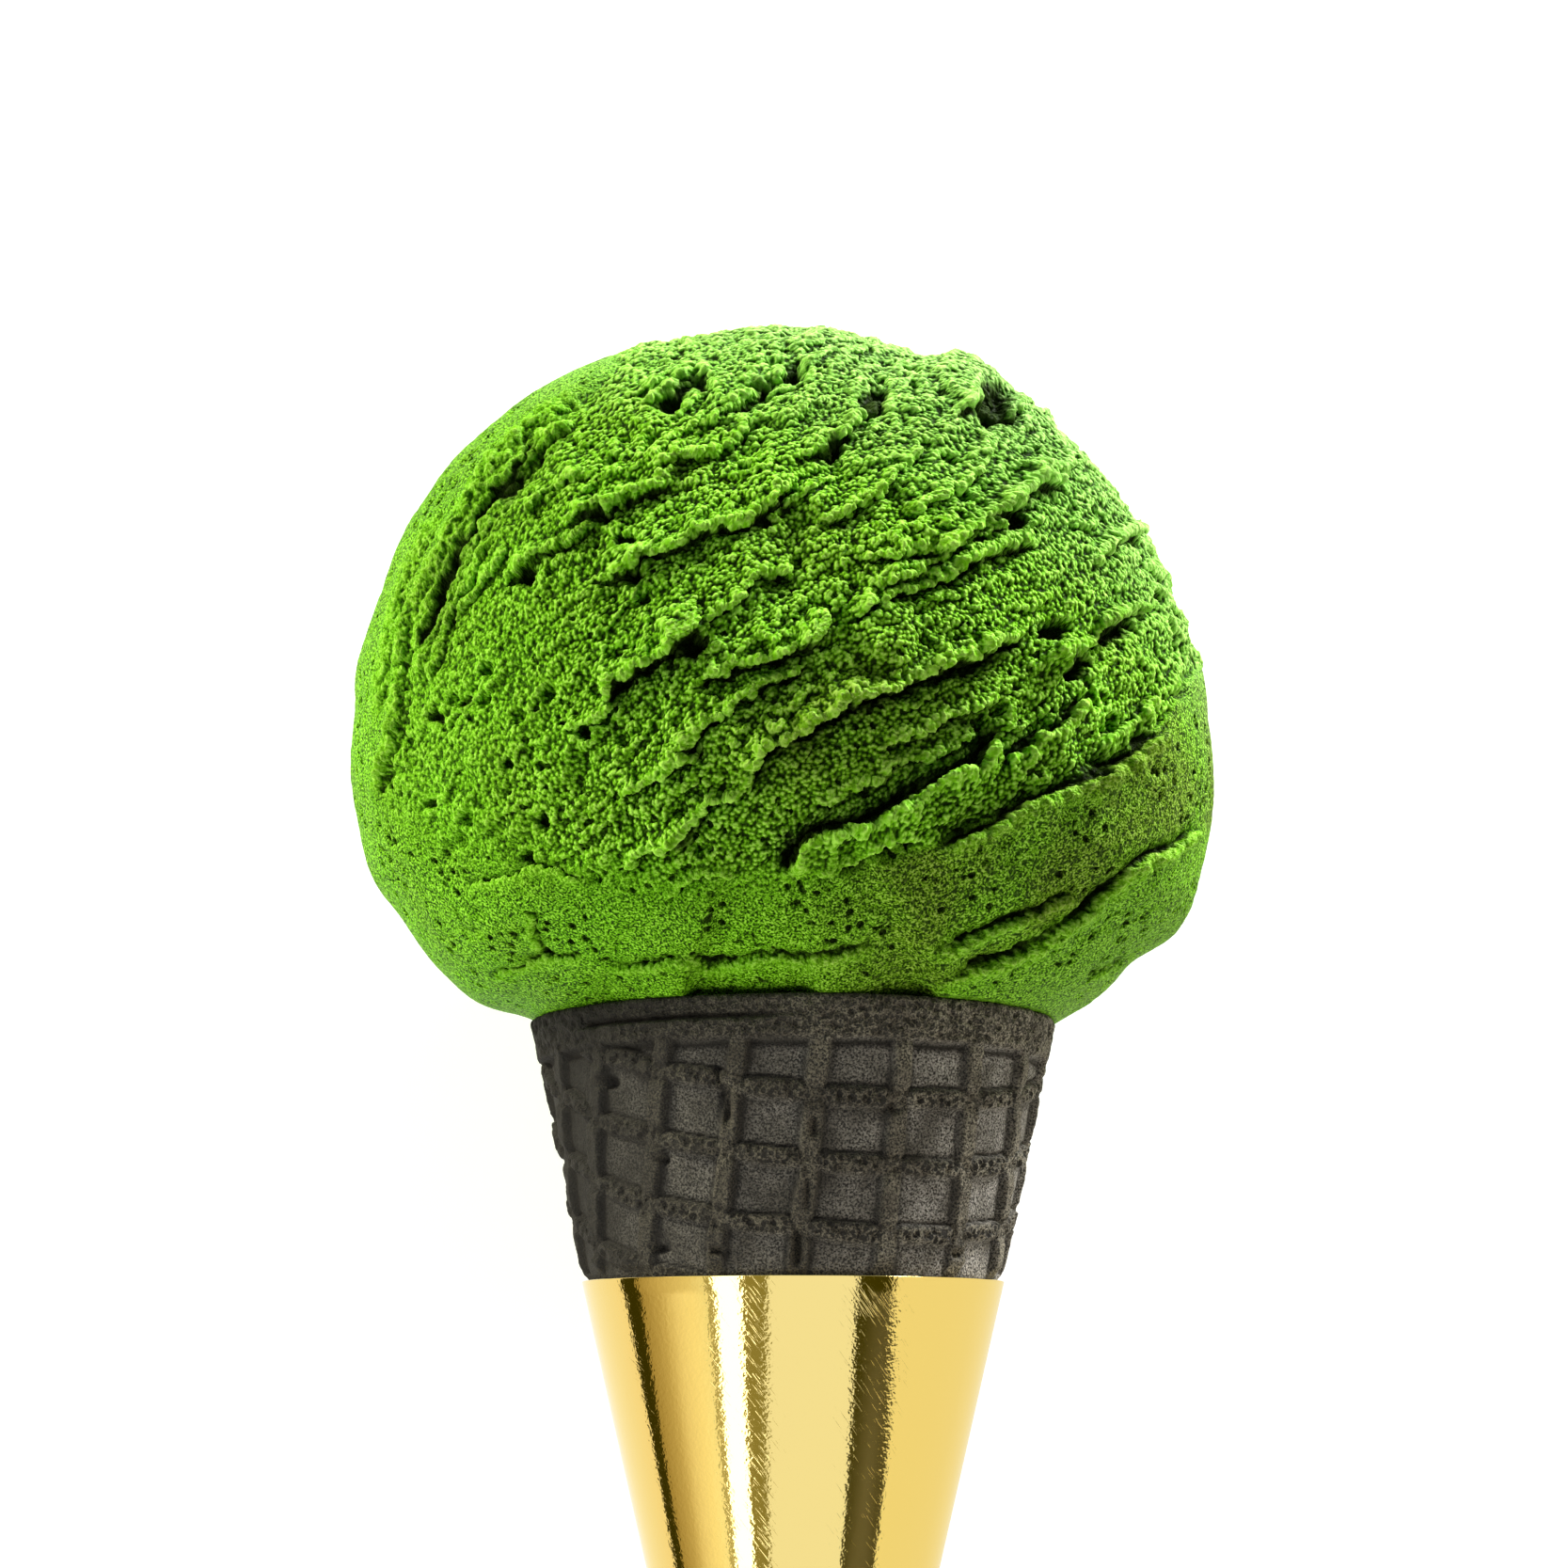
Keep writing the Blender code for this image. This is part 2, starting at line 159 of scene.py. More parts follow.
def set_up(name, data, direction, target, distance):
    """Places a lamp or a camera in one direction from its target, at a distance and facing it."""
    made = bpy.data.objects.new(name, data)
    away = Vector(direction).normalized()
    made.location = Vector(target) + away * distance
    made.rotation_mode = "QUATERNION"
    made.rotation_quaternion = away.to_track_quat("Z", "Y")
    bpy.context.collection.objects.link(made)
    return made


def add_lamp(name, direction, size, level, colour):
    """A square soft light towards the scoop, as strong as a white card seen at the level given."""
    lamp = bpy.data.lights.new(name, "AREA")
    lamp.shape = "SQUARE"
    lamp.size = size
    lamp.energy = level * math.pi**2 * LAMP_DISTANCE**2
    lamp.color = linear(colour)[:3]
    set_up(name, lamp, direction, CENTRE_ON_TABLE * MM, LAMP_DISTANCE)


add_lamp("key_light", (-0.88, 0.55, 0.33), 0.18, 1.24, "#FFF8DC")
add_lamp("top_light", (0.70, 0.92, 0.25), 0.22, 2.30, "#FFFFFF")
add_lamp("side_light", (-0.80, -0.55, 0.25), 0.25, 0.47, "#FFFDF0")
add_lamp("low_light", (0.80, -0.75, 0.35), 0.25, 0.26, "#FFF4E4")

SIGHT = np.array((0.0, -math.cos(CAMERA_SWING), math.sin(CAMERA_SWING)))
SIGHT_UP = np.array((0.0, math.sin(CAMERA_SWING), math.cos(CAMERA_SWING)))
aim = on_table(SCOOP_CENTRE + AIM_OFFSET)[0]
camera = set_up("camera", bpy.data.cameras.new("camera"), turned_back(SIGHT)[0], aim, CAMERA_DISTANCE)
camera.data.sensor_width = SENSOR
camera.data.lens = SENSOR * CAMERA_DISTANCE / MM * PIXELS_PER_MM / FRAME_PIXELS
camera.data.clip_start = 0.01
camera.data.clip_end = 20.0
bpy.context.scene.camera = camera
bpy.context.scene.view_settings.view_transform = "Standard"

# What the sleeve mirrors from left to right: the azimuth of a strip's edge at the sleeve's top and
# 16 mm below it, the strip's colour there and how strongly it is lit.
TENT_RADIUS = 300.0
TENT_HEIGHTS = (400.0, -450.0)
TENT_STRIPES = (
    (-89, -89, "#FFFFFF", 1.05), (-75, -75, "#FFFCF2", 1.05), (-60, -60, "#FFF5DC", 1.0),
    (-53.0, -52.6, "#FFF0CE", 1.0), (-52.4, -52.0, "#383404", 1.0), (-46.0, -47.6, "#383404", 1.0),
    (-45.4, -47.0, "#A8925A", 1.0), (-38, -38, "#CDB884", 1.0), (-28, -29, "#ECDCAC", 1.0),
    (-23.6, -24.6, "#F8F0CC", 1.0), (-23.2, -24.2, "#A8A071", 1.0), (-21.5, -22.3, "#B8AC78", 1.0),
    (-21.0, -21.8, "#FFFFFF", 3.2), (-13.9, -15.3, "#FFFFFF", 3.2), (-13.3, -14.7, "#948A52", 1.0),
    (-7.0, -9.2, "#8E8650", 1.0), (-6.4, -8.6, "#FCFBF1", 1.0), (16.5, 18.2, "#FCFBF1", 1.0),
    (17.1, 18.8, "#403C04", 1.0), (26.8, 32.4, "#383402", 1.0), (27.5, 33.1, "#F8EEC4", 1.0),
    (60, 60, "#F8EEC8", 1.0), (89, 89, "#FDF6DE", 1.0),
)
eye = SCOOP_CENTRE + AIM_OFFSET + SIGHT * CAMERA_DISTANCE / MM


def tent_point(azimuth, height):
    """Where the sight line that the sleeve mirrors at an azimuth and a height meets the tent: its
    direction is twice the sleeve's facing part less the view, and a square root gives its length."""
    around = np.array((math.sin(azimuth), -math.cos(azimuth), 0.0))
    start = around * height * math.tan(LOWER_HALF_ANGLE) + np.array((0.0, 0.0, height))
    facing = around * math.cos(LOWER_HALF_ANGLE) - np.array((0.0, 0.0, math.sin(LOWER_HALF_ANGLE)))
    view = (eye - start) / np.linalg.norm(eye - start)
    arrow = 2.0 * facing.dot(view) * facing - view
    square, half, rest = arrow[:2] @ arrow[:2], start[:2] @ arrow[:2], start[:2] @ start[:2] - TENT_RADIUS**2
    return start + arrow * (math.sqrt(half**2 - square * rest) - half) / square


def tent_glow(tree):
    """Plain light in the strip's own colour."""
    return add_node(tree, "Emission", {"Color": add_node(tree, "Attribute", attribute_name="glow")})


tent_rows = []
tent_values = []
for at_top, below, colour, strength in TENT_STRIPES:
    upper = tent_point(math.radians(at_top), SLEEVE_TOP)
    lower = tent_point(math.radians(below), SLEEVE_TOP - 16.0)
    tent_rows += [(*upper[:2], TENT_HEIGHTS[0]), upper, lower, (*lower[:2], TENT_HEIGHTS[1])]
    tent_values += [np.array(linear(colour)) * strength] * 4
tent_faces = [(i, i + 1, i + 5, i + 4) for i in range(4 * len(TENT_STRIPES) - 4) if i % 4 < 3]
tent = new_surface("light_tent", on_table(np.array(tent_rows)), tent_faces)
tent.data.attributes.new("glow", "FLOAT_COLOR", "POINT").data.foreach_set("color", np.ravel(tent_values))
tent.data.materials.append(new_material("lit cloth", tent_glow))
for unseen in ("visible_camera", "visible_diffuse", "visible_shadow", "visible_transmission"):
    setattr(tent, unseen, False)


# The scoop of matcha gelato: a ball drawn through a tub by a round scoop from lower left to upper
# right, so its face is torn into overlapping lips with open ice grains, while its sides and hem
# were pressed smooth. It is seated on the cone's rim with a short plug in the mouth.
GRID_CELLS = 308
KEY_STEP = 4000003
FACE_CROWDING = 0.6
SCOOP_FULLNESS = 2.2
PLUG_RADIUS = 20.0
PLUG_BELOW_SEAT = 6.0
OUTLINE = (
    (0, 38.0), (20, 38.4), (38, 39.1), (48, 39.7), (56, 40.8), (66, 41.2), (75, 39.9), (88, 40.9),
    (100, 40.6), (118, 41.1), (134, 40.9), (146, 40.2), (158, 39.0), (178, 38.2), (189, 37.2),
    (203, 35.3), (212, 33.4), (224, 29.8), (236, 26.7), (262, 24.1), (292, 25.9), (312, 30.1),
    (320, 32.1), (330, 34.0), (344, 37.6),
)
OUTLINE_BLUR = math.radians(5.0)

# The edge of the left skirt, across and up from the centre as seen from in front.
SKIRT = (
    (-36.2, -2.6), (-35.3, 1.0), (-34.3, 4.8), (-33.7, 10.0), (-32.9, 15.0), (-30.4, 19.9),
    (-27.7, 25.0), (-24.6, 29.2), (-20.2, 33.3), (-15.3, 37.3),
)

# Each torn lip has its crest's height, the depth of the furrow beside it, the furrow's side (1 is
# left of the path), how far it falls off behind, and its path, in the same way.
LIPS = (
    # Down the left side: the skirt's edge, the crevice inside it and its strands.
    (0.9, 0.9, -1, 2, SKIRT),
    (0.3, 2.7, -1, 2, ((-32.4, 12.2), (-32.2, 14.2), (-30.2, 19.2), (-27.4, 24.4), (-24.4, 28.4),
     (-21.4, 31.6))),
    (0.4, 0.5, -1, 2, ((-35.9, 5.0), (-35.2, 10.0), (-34.2, 15.0), (-32.2, 20.4), (-29.4, 25.0))),
    (0.5, 0.8, -1, 2, ((-32.6, 8.0), (-31.2, 13.4), (-29.2, 18.4), (-26.2, 23.6), (-22.6, 28.6))),
    (0.6, 1.2, -1, 2, ((-31.6, 8.8), (-30.2, 13.8), (-28.2, 18.4), (-25.0, 23.0))),
    # From the upper left to the middle: the folds, the brow and the hook.
    (0.8, 1.6, -1, 3, ((-26.0, 25.7), (-22.7, 29.2), (-18.5, 33.2))),
    (0.9, 2.2, -1, 3, ((-25.6, 18.0), (-22.7, 20.3), (-19.3, 21.8), (-15.6, 23.6))),
    (1.0, 2.4, -1, 3, ((-19.3, 23.2), (-16.0, 24.8), (-12.7, 26.5), (-9.2, 27.8))),
    (0.8, 1.6, -1, 4, ((-11.8, 27.8), (-8.1, 29.4), (-4.8, 30.7), (-2.7, 32.8))),
    (1.1, 2.6, -1, 4, ((-16.8, 18.4), (-13.1, 19.8), (-8.5, 22.2), (-4.5, 23.5), (-1.4, 25.2), (1.9, 27.8))),
    (1.6, 3.8, -1, 5, ((-16.3, 7.8), (-14.3, 9.8), (-11.8, 11.8), (-9.5, 13.0), (-6.7, 14.5))),
    # The cheek, and the fold under it.
    (0.9, 2.2, -1, 3, ((-7.2, 14.8), (-4.8, 16.5), (-2.4, 18.7), (1.5, 19.8))),
    (1.2, 2.8, -1, 4, ((-7.8, 9.2), (-3.5, 11.0), (1.5, 12.8), (4.2, 15.2))),
    (1.0, 2.5, -1, 4, ((-10.3, 2.9), (-7.8, 4.6), (-4.8, 7.6), (-0.2, 10.0), (2.3, 11.5))),
    # Right of the middle: the flap, and the tongue that runs below it.
    (1.3, 2.4, -1, 5, ((5.9, 15.2), (8.6, 16.5), (14.0, 18.8), (19.0, 21.1), (23.2, 22.3))),
    (0.9, 1.8, -1, 4, ((5.7, 19.8), (9.8, 20.7), (14.0, 21.3), (17.8, 23.0), (20.7, 23.2))),
    (1.0, 2.2, -1, 4, ((18.6, 24.2), (21.1, 26.3), (23.6, 27.2), (26.1, 29.2))),
    (2.0, 3.8, -1, 6, ((-2.9, -1.2), (-2.8, 1.3), (-1.7, 3.4), (1.5, 5.3), (6.1, 7.8), (10.7, 9.4),
     (14.8, 11.2), (19.0, 12.8), (23.2, 15.2))),
    # At the lower right: the shelf, the ledge and the wedges between them.
    (1.5, 4.8, 1, 3, ((-0.8, -8.1), (1.5, -6.0), (4.0, -4.6), (8.2, -3.2), (12.3, -1.0), (16.5, 1.3),
     (19.0, 3.2), (21.1, 5.7))),
    (1.0, 3.0, 1, 3, ((19.7, 1.3), (22.8, 3.6), (25.2, 6.1), (27.3, 8.6))),
    (1.3, 3.4, 1, 4, ((13.2, -5.6), (17.8, -4.1), (21.9, -1.5), (26.5, 0.2), (30.7, 2.2), (34.7, 5.8))),
    (0.3, 2.4, -1, 2, ((3.0, -8.2), (5.5, -7.0), (9.0, -5.4), (12.6, -4.5))),
    (0.8, 2.2, -1, 3, ((8.6, 3.2), (11.9, 5.2), (15.7, 6.5), (19.8, 7.8))),
    (0.6, 2.0, -1, 3, ((7.8, 0.7), (10.7, 2.5), (14.4, 3.6), (18.2, 5.2))),
    (0.6, 2.0, -1, 3, ((3.2, -1.8), (6.5, 0.0), (9.8, 1.3))),
    # The hem under the right side.
    (0.8, 2.2, 1, 2, ((12.8, -14.9), (17.8, -12.8), (22.3, -11.0), (26.5, -9.0))),
    (1.0, 2.6, 1, 3, ((12.8, -17.7), (18.2, -15.7), (23.2, -13.3), (27.3, -10.3), (31.1, -7.2), (34.8, -5.2),
     (37.3, -3.0))),
    (0.1, 2.0, 1, 1, ((26.9, -16.9), (31.0, -14.9), (36.2, -11.8))),
    # The crack along the hem, and a row of pores above it.
    (0.3, 2.3, 1, 1, ((-16.8, -15.1), (-12.8, -16.0), (-9.2, -15.4), (-5.7, -15.8), (-1.2, -15.0),
     (3.3, -15.2), (10.2, -13.6))),
    (0.3, 2.2, 1, 2, ((-25.9, -16.7), (-22.1, -15.4), (-17.6, -15.1))),
    (0.1, 2.0, 1, 1, ((-22.4, -10.6), (-22.1, -12.9), (-21.4, -15.4))),
    (0.1, 2.0, 1, 1, ((-28.5, -8.8), (-24.5, -8.2), (-21.5, -7.0), (-17.0, -8.6))),
    # Crumples and steps at the lower left.
    (1.0, 2.0, -1, 3, ((-11.2, -5.8), (-8.9, -3.9), (-7.0, -1.7), (-2.7, -1.0))),
    (0.8, 1.8, -1, 3, ((-14.8, -7.0), (-11.4, -5.6), (-8.1, -4.3))),
    (0.8, 1.8, -1, 3, ((-15.0, -0.8), (-11.8, 0.8), (-9.3, 2.2), (-7.2, 3.6))),
    (0.6, 1.4, -1, 3, ((-19.3, 5.2), (-16.8, 6.1), (-14.3, 7.8))),
    (0.5, 1.3, -1, 2, ((-11.0, -10.2), (-7.7, -8.5), (-3.5, -7.7))),
    # The crown.
    (0.8, 2.0, -1, 3, ((-12.7, 34.4), (-9.8, 36.1), (-6.4, 36.9))),
    (0.8, 1.8, -1, 3, ((-7.7, 31.9), (-3.9, 34.0), (-1.4, 36.5), (1.5, 37.8))),
    (0.9, 2.0, -1, 3, ((1.9, 29.8), (4.4, 30.8), (6.9, 33.2), (9.4, 34.4))),
    (1.0, 2.6, -1, 4, ((14.8, 33.2), (17.4, 34.4), (19.6, 33.4), (21.6, 33.6))),
    # Finer lips at the upper right and left.
    (0.9, 1.8, -1, 4, ((6.3, 16.5), (13.0, 20.0), (15.5, 22.6), (19.0, 24.5), (25.4, 28.6))),
    (0.7, 1.5, -1, 3, ((2.3, 23.2), (6.1, 24.8), (9.8, 27.3), (12.8, 30.7))),
    (0.7, 1.4, -1, 3, ((10.7, 23.2), (14.0, 25.7), (17.3, 28.2), (19.0, 31.1))),
    (0.7, 1.2, -1, 2, ((-29.3, 14.8), (-26.8, 18.2), (-23.9, 21.5))),
    (0.5, 1.2, -1, 3, ((-22.7, 24.4), (-20.2, 26.9), (-17.2, 28.6))),
    # The right edge.
    (0.8, 1.8, -1, 3, ((27.3, 19.8), (29.8, 21.9), (31.9, 23.2))),
    (0.8, 2.0, -1, 3, ((25.2, 9.7), (27.3, 12.3), (30.2, 15.2), (32.8, 16.5))),
    (0.6, 1.6, 1, 3, ((28.6, 4.0), (31.1, 5.7), (33.6, 8.6))),
)
LIP_EDGE = 0.28
BEAD_SET_BACK = 0.42

# How far apart the pores, pinholes, crumbs and ice grains lie, and the terraces of the drag.
PORES = 2.6
PINHOLES = 1.25
CRUMBS = 1.1
FINE_CRUMBS = 0.6
GRAINS = 0.36
TERRACES = 3.1

# Pits in the face: across, up, radius and depth. Knobs: across, up, radius and height.
PITS = (
    (0.5, 37.5, 1.2, 1.4), (-2.0, 36.1, 0.8, 1.0), (-10.0, 34.8, 1.2, 1.4), (8.2, 34.6, 1.2, 1.2),
    (4.4, 30.6, 1.0, 1.4), (18.6, 34.4, 1.6, 2.4), (20.8, 24.4, 1.1, 1.8), (-7.8, 12.4, 1.1, 2.2),
    (24.2, 14.2, 1.1, 2.0), (26.5, 10.8, 1.4, 2.4), (30.4, 14.2, 1.3, 2.0), (33.6, 17.3, 0.6, 1.0),
    (35.3, 8.6, 0.6, 1.2), (-31.2, 6.6, 0.7, 1.2), (-28.5, 7.7, 0.6, 1.0), (-17.6, 4.8, 0.8, 1.2),
    (-24.7, 2.2, 0.5, 0.9), (-21.4, 1.9, 0.5, 0.9), (-21.6, -3.3, 0.8, 1.3), (-22.8, -6.2, 0.7, 1.2),
    (-31.5, -1.6, 0.5, 1.0), (-23.2, 19.0, 0.8, 1.4), (-14.0, 22.0, 0.7, 1.4), (-1.4, 24.0, 0.6, 1.2),
)
KNOBS = (
    (-8.8, 13.9, 2.0, 1.0), (2.8, 14.2, 1.5, 1.0), (9.3, 13.9, 2.6, 0.9), (20.6, 4.6, 0.8, -0.5),
    (28.0, 0.2, 1.5, 1.2), (24.8, 11.6, 1.4, 1.2), (29.8, 14.8, 1.2, 1.2), (17.0, 36.0, 3.0, 0.8),
    (-6.8, -12.2, 0.9, 0.6), (4.9, -7.8, 0.8, 0.5), (8.4, -11.4, 0.8, 0.5),
)


def unit(arrows):
    """Arrows brought to unit length."""
    return arrows / np.linalg.norm(arrows, axis=1)[:, None]


RANDOM_SLOPES = unit(np.random.default_rng(11).normal(size=(4096, 3)))
AXIS_PRIMES = np.array((73856093, 19349663, 83492791))


def corner_code(lattice, seed):
    """A repeatable number from 0 to 4095 for each whole-number place: mixed products of it."""
    code = lattice @ AXIS_PRIMES + seed * 961748927
    code = (code ^ (code >> 15)) * 1274126177
    return (code ^ (code >> 13)) & 4095


def wander(place, seed):
    """Smooth noise of about -0.7 to 0.7: every lattice corner's random slope, blended by an
    ease that is level at both ends."""
    cell = np.floor(place).astype(np.int64)
    part = place - cell
    level = part**3 * (part * (part * 6.0 - 15.0) + 10.0)
    total = np.zeros(len(place))
    for corner in np.ndindex(2, 2, 2):
        slope = RANDOM_SLOPES[corner_code(cell + corner, seed)]
        share = np.ones(len(place))
        for axis in range(3):
            share *= level[:, axis] if corner[axis] else 1.0 - level[:, axis]
        total += share * np.einsum("ij,ij->i", slope, part - corner)
    return total


def to_seed(place, seed):
    """Distance to the nearest of the random points, one in each unit cell."""
    cell = np.floor(place).astype(np.int64)
    best = np.full(len(place), 9.0)
    for neighbour in np.ndindex(3, 3, 3):
        around = cell + np.array(neighbour) - 1
        point = around + 0.5 + 0.5 * RANDOM_SLOPES[corner_code(around, seed)]
        best = np.minimum(best, np.linalg.norm(place - point, axis=1))
    return best


def ease(low, high, value):
    """0 below low and 1 above high, by three squares less two cubes between."""
    part = np.clip((value - low) / (high - low), 0.0, 1.0)
    return part * part * (3.0 - 2.0 * part)


def hill(part):
    """A round hill, 1 at 0 and gone by 2 on either side: the square exponential."""
    return np.exp(-(part**2))


def ball_of_grids(cells, crowding):
    """Unit directions, and six square grids of corner numbers, of a cube blown up to a ball.

    Each grid's parameters are angles from -45 to 45 degrees, whose tangents give the direction.
    A share of the forward direction is added, so that the points lie closer on the face.
    """
    tangent = np.tan(np.linspace(-math.pi / 4, math.pi / 4, cells + 1))
    a, b = (g.ravel() for g in np.meshgrid(tangent, tangent, indexing="ij"))
    one = np.ones_like(a)
    sides = ((one, a, b), (b, one, a), (a, b, one), (-one, b, a), (a, -one, b), (b, a, -one))
    arrows = unit(np.vstack([np.column_stack(side) for side in sides]))
    rounded = np.round(arrows * 1e6).astype(np.int64) @ KEY_STEP ** np.arange(3)
    _, first, shared = np.unique(rounded, return_index=True, return_inverse=True)
    corners = shared.reshape(6, cells + 1, cells + 1)
    quads = np.stack((corners[:, :-1, :-1], corners[:, 1:, :-1], corners[:, 1:, 1:], corners[:, :-1, 1:]), -1)
    return unit(arrows[first] - np.array((0.0, crowding, 0.0))), quads.reshape(6, -1, 4)


def point_arrows(points, quads):
    """The outward arrow at each point: the sum of its faces' crossed diagonals, at unit length."""
    corner = points[quads]
    crossed = np.cross(corner[:, 2] - corner[:, 0], corner[:, 3] - corner[:, 1])
    spread = np.repeat(crossed, 4, axis=0)
    total = np.column_stack([np.bincount(quads.ravel(), spread[:, i], len(points)) for i in range(3)])
    return unit(total)


def outline_radius(angle):
    """The outline's radius at an angle, blended smoothly between the named points."""
    total = np.zeros_like(angle)
    weight = np.zeros_like(angle)
    for degrees, radius in OUTLINE:
        away = np.mod(angle - math.radians(degrees) + math.pi, 2.0 * math.pi) - math.pi
        share = hill(away / OUTLINE_BLUR / math.sqrt(2.0)) + 1e-9
        total += share * radius
        weight += share
    return total / weight


def scoop_body(direction):
    """Points and outward arrows of the plain scoop: its outline from the front, full in depth.

    Across and depth, each as a share of its half-width and raised to the fullness, add up to one.
    """
    flat = np.hypot(direction[:, 0], direction[:, 2])
    side = outline_radius(np.arctan2(direction[:, 2], direction[:, 0]))
    depth = np.abs(direction[:, 1]) / SCOOP_HALF_DEPTH
    reach = ((flat / side) ** SCOOP_FULLNESS + depth**SCOOP_FULLNESS) ** (-1.0 / SCOOP_FULLNESS)
    points = direction * reach[:, None]
    spread = (flat * reach + 1e-6) ** (SCOOP_FULLNESS - 2.0) / side**SCOOP_FULLNESS
    facing = points * spread[:, None]
    inward = np.abs(points[:, 1]) ** (SCOOP_FULLNESS - 1.0) / SCOOP_HALF_DEPTH**SCOOP_FULLNESS
    facing[:, 1] = np.sign(points[:, 1]) * inward
    return points, unit(facing)


def smooth_path(path, parts=4):
    """A path's points joined by a curve through them all: Catmull and Rom's cubic on each span."""
    known = np.array(path, dtype=float)
    ends = np.vstack((2 * known[0] - known[1], known, 2 * known[-1] - known[-2]))
    made = []
    for p, q, r, s in zip(ends, ends[1:], ends[2:], ends[3:]):
        for t in np.arange(parts) / parts:
            square = (2 * p - 5 * q + 4 * r - s) * t**2
            cube = (3 * q - p - 3 * r + s) * t**3
            made.append(0.5 * (2 * q + (r - p) * t + square + cube))
    return np.array(made + [known[-1]])


def beside_path(across, up, path):
    """Signed distance to a path, positive on its left, the share passed, and its left-hand arrow."""
    best = np.full(across.shape, 1e9)
    signed = np.zeros_like(across)
    passed = np.zeros_like(across)
    left = np.zeros((len(across), 2))
    for i, (a, b) in enumerate(zip(path[:-1], path[1:])):
        run = b - a
        length = np.hypot(*run)
        off = (across - a[0], up - a[1])
        along = np.clip((off[0] * run[0] + off[1] * run[1]) / length**2, 0.0, 1.0)
        gap = np.hypot(off[0] - along * run[0], off[1] - along * run[1])
        turn = run[0] * off[1] - run[1] * off[0]
        nearer = gap < best
        best = np.where(nearer, gap, best)
        signed = np.where(nearer, np.where(turn > 0, gap, -gap), signed)
        passed = np.where(nearer, (i + along) / (len(path) - 1), passed)
        left[nearer] = (-run[1] / length, run[0] / length)
    return signed, passed, left


def as_seen(points):
    """Where the camera sees points: across and up, enlarged by their nearness, at the scoop's centre."""
    away = points - AIM_OFFSET
    distance = CAMERA_DISTANCE / MM
    nearness = distance / (distance - away @ SIGHT)
    return np.column_stack((away[:, 0], away @ SIGHT_UP)) * nearness[:, None] + AIM_OFFSET[[0, 2]]


def torn_lips(across, up, lumps, breaks, opened):
    """Height and sideways lean of the lips, how deep in a furrow a point is, which also sets the shade
    painted there, how near a crest and how crumbly.

    A lip is a round bead along its crest, the square exponential of the distance, and a slope
    behind it. Beyond the crest the furrow drops and recovers by two exponentials, one steep and
    one wide, and closes up where it breaks off. The bead leans out over the furrow.
    """
    height = np.zeros_like(across)
    lean = np.zeros((len(across), 2))
    hollow = np.zeros_like(across)
    bead = np.zeros_like(across)
    crumbly = np.zeros_like(across)
    for crest, furrow, side, fall, path in LIPS:
        low = np.min(path, axis=0) - 8.0
        high = np.max(path, axis=0) + 8.0
        near = (across > low[0]) & (across < high[0]) & (up > low[1]) & (up < high[1])
        signed, passed, left = beside_path(across[near], up[near], smooth_path(path))
        behind = -side * signed
        ends = ease(0.0, 0.14, passed) * ease(1.0, 0.86, passed)
        over = ease(-LIP_EDGE, LIP_EDGE, behind)
        tall = crest * (1.0 + 0.7 * lumps[near])
        deep = furrow * np.maximum(breaks[near], min(0.22 * furrow, 1.0))
        bead_share = 0.85 - 0.08 * fall
        rim = hill((np.maximum(behind, 0.0) - BEAD_SET_BACK) / (0.32 + 0.085 * fall))
        body = tall * (bead_share * rim + (1.0 - bead_share) * 0.8 * np.exp(-np.maximum(behind, 0.0) / fall))
        steep = np.exp(np.minimum(behind, 0.0) / (0.18 + 0.14 * furrow))
        wide = np.exp(np.minimum(behind, 0.0) / 2.6)
        gully = 0.48 * deep * steep + 0.18 * furrow * opened[near] * wide
        height[near] += ends * (over * body - (1.0 - over) * gully)
        # Painted shade: the furrow's depth, strongest by the crest, darkens the colour there, with a faint
        # wide share below opened lips.
        shade = deep * np.exp(np.minimum(behind, 0.0) / (0.1 + 0.13 * furrow))
        hollow[near] += ends * (1.0 - over) * (shade + min(0.035 * furrow**2, 0.5) * opened[near] * wide)
        bead[near] = np.maximum(bead[near], ends * over * rim)
        crumbly[near] = np.maximum(crumbly[near], ends * hill(signed / (0.5 + 0.3 * crest)))
        reach = ends * over * rim * (0.12 + 0.13 * furrow) * (1.0 + 0.6 * lumps[near])
        lean[near] += side * left * reach[:, None]
    return height, lean, hollow, bead, crumbly


def torn_share(points):
    """1 where the face was torn open and 0 where the scoop pressed it smooth, and where shade is
    painted, darker and more olive: on the band under the right of the face and in the face's
    shaded middle."""
    across, up = as_seen(points).T
    border = np.interp(across, (-40, -30, -20, -10, 0, 6, 14, 22, 29, 34, 38),
                       (-1, -7, -9, -10, -9.5, -7.5, -5.2, -1.4, 1.5, 5.7, 12))
    skirt = np.interp(up, *np.array(SKIRT).T[::-1])
    softness = np.interp(across, (-30, 5, 14), (6.0, 3.0, 0.6))
    above = ease(-0.4, 1.0, (up - border) / softness)
    within = ease(-0.3, 0.6, across - skirt)
    under_hem = ease(0.0, -1.5, up + 25.4 - 0.6 * across)
    # Painted shade: the band darkens towards the right and less under the hem, and the face's middle is
    # shaded under the tongue lip.
    dull = (1.0 - above) * ease(-7.0, 14.0, across) * (1.0 - 0.65 * under_hem)
    dull += above * hill((across - 6.0) / 10.0) * hill((up - 6.0 - 0.3 * (across - 6.0)) / 6.0)
    back = ease(-8.0, 6.0, up + 8.0 * wander(points / 14.0, 71))
    facing = ease(-2.0, 6.0, points[:, 1])
    return above * within * (1.0 - facing) + 0.7 * back * facing, dull * (1.0 - facing)


DRAG_ANGLE = math.radians(33.0)
DRAG = np.array((math.cos(DRAG_ANGLE), 0.0, math.sin(DRAG_ANGLE)))
CROSS = np.array((-math.sin(DRAG_ANGLE), 0.25, math.cos(DRAG_ANGLE)))


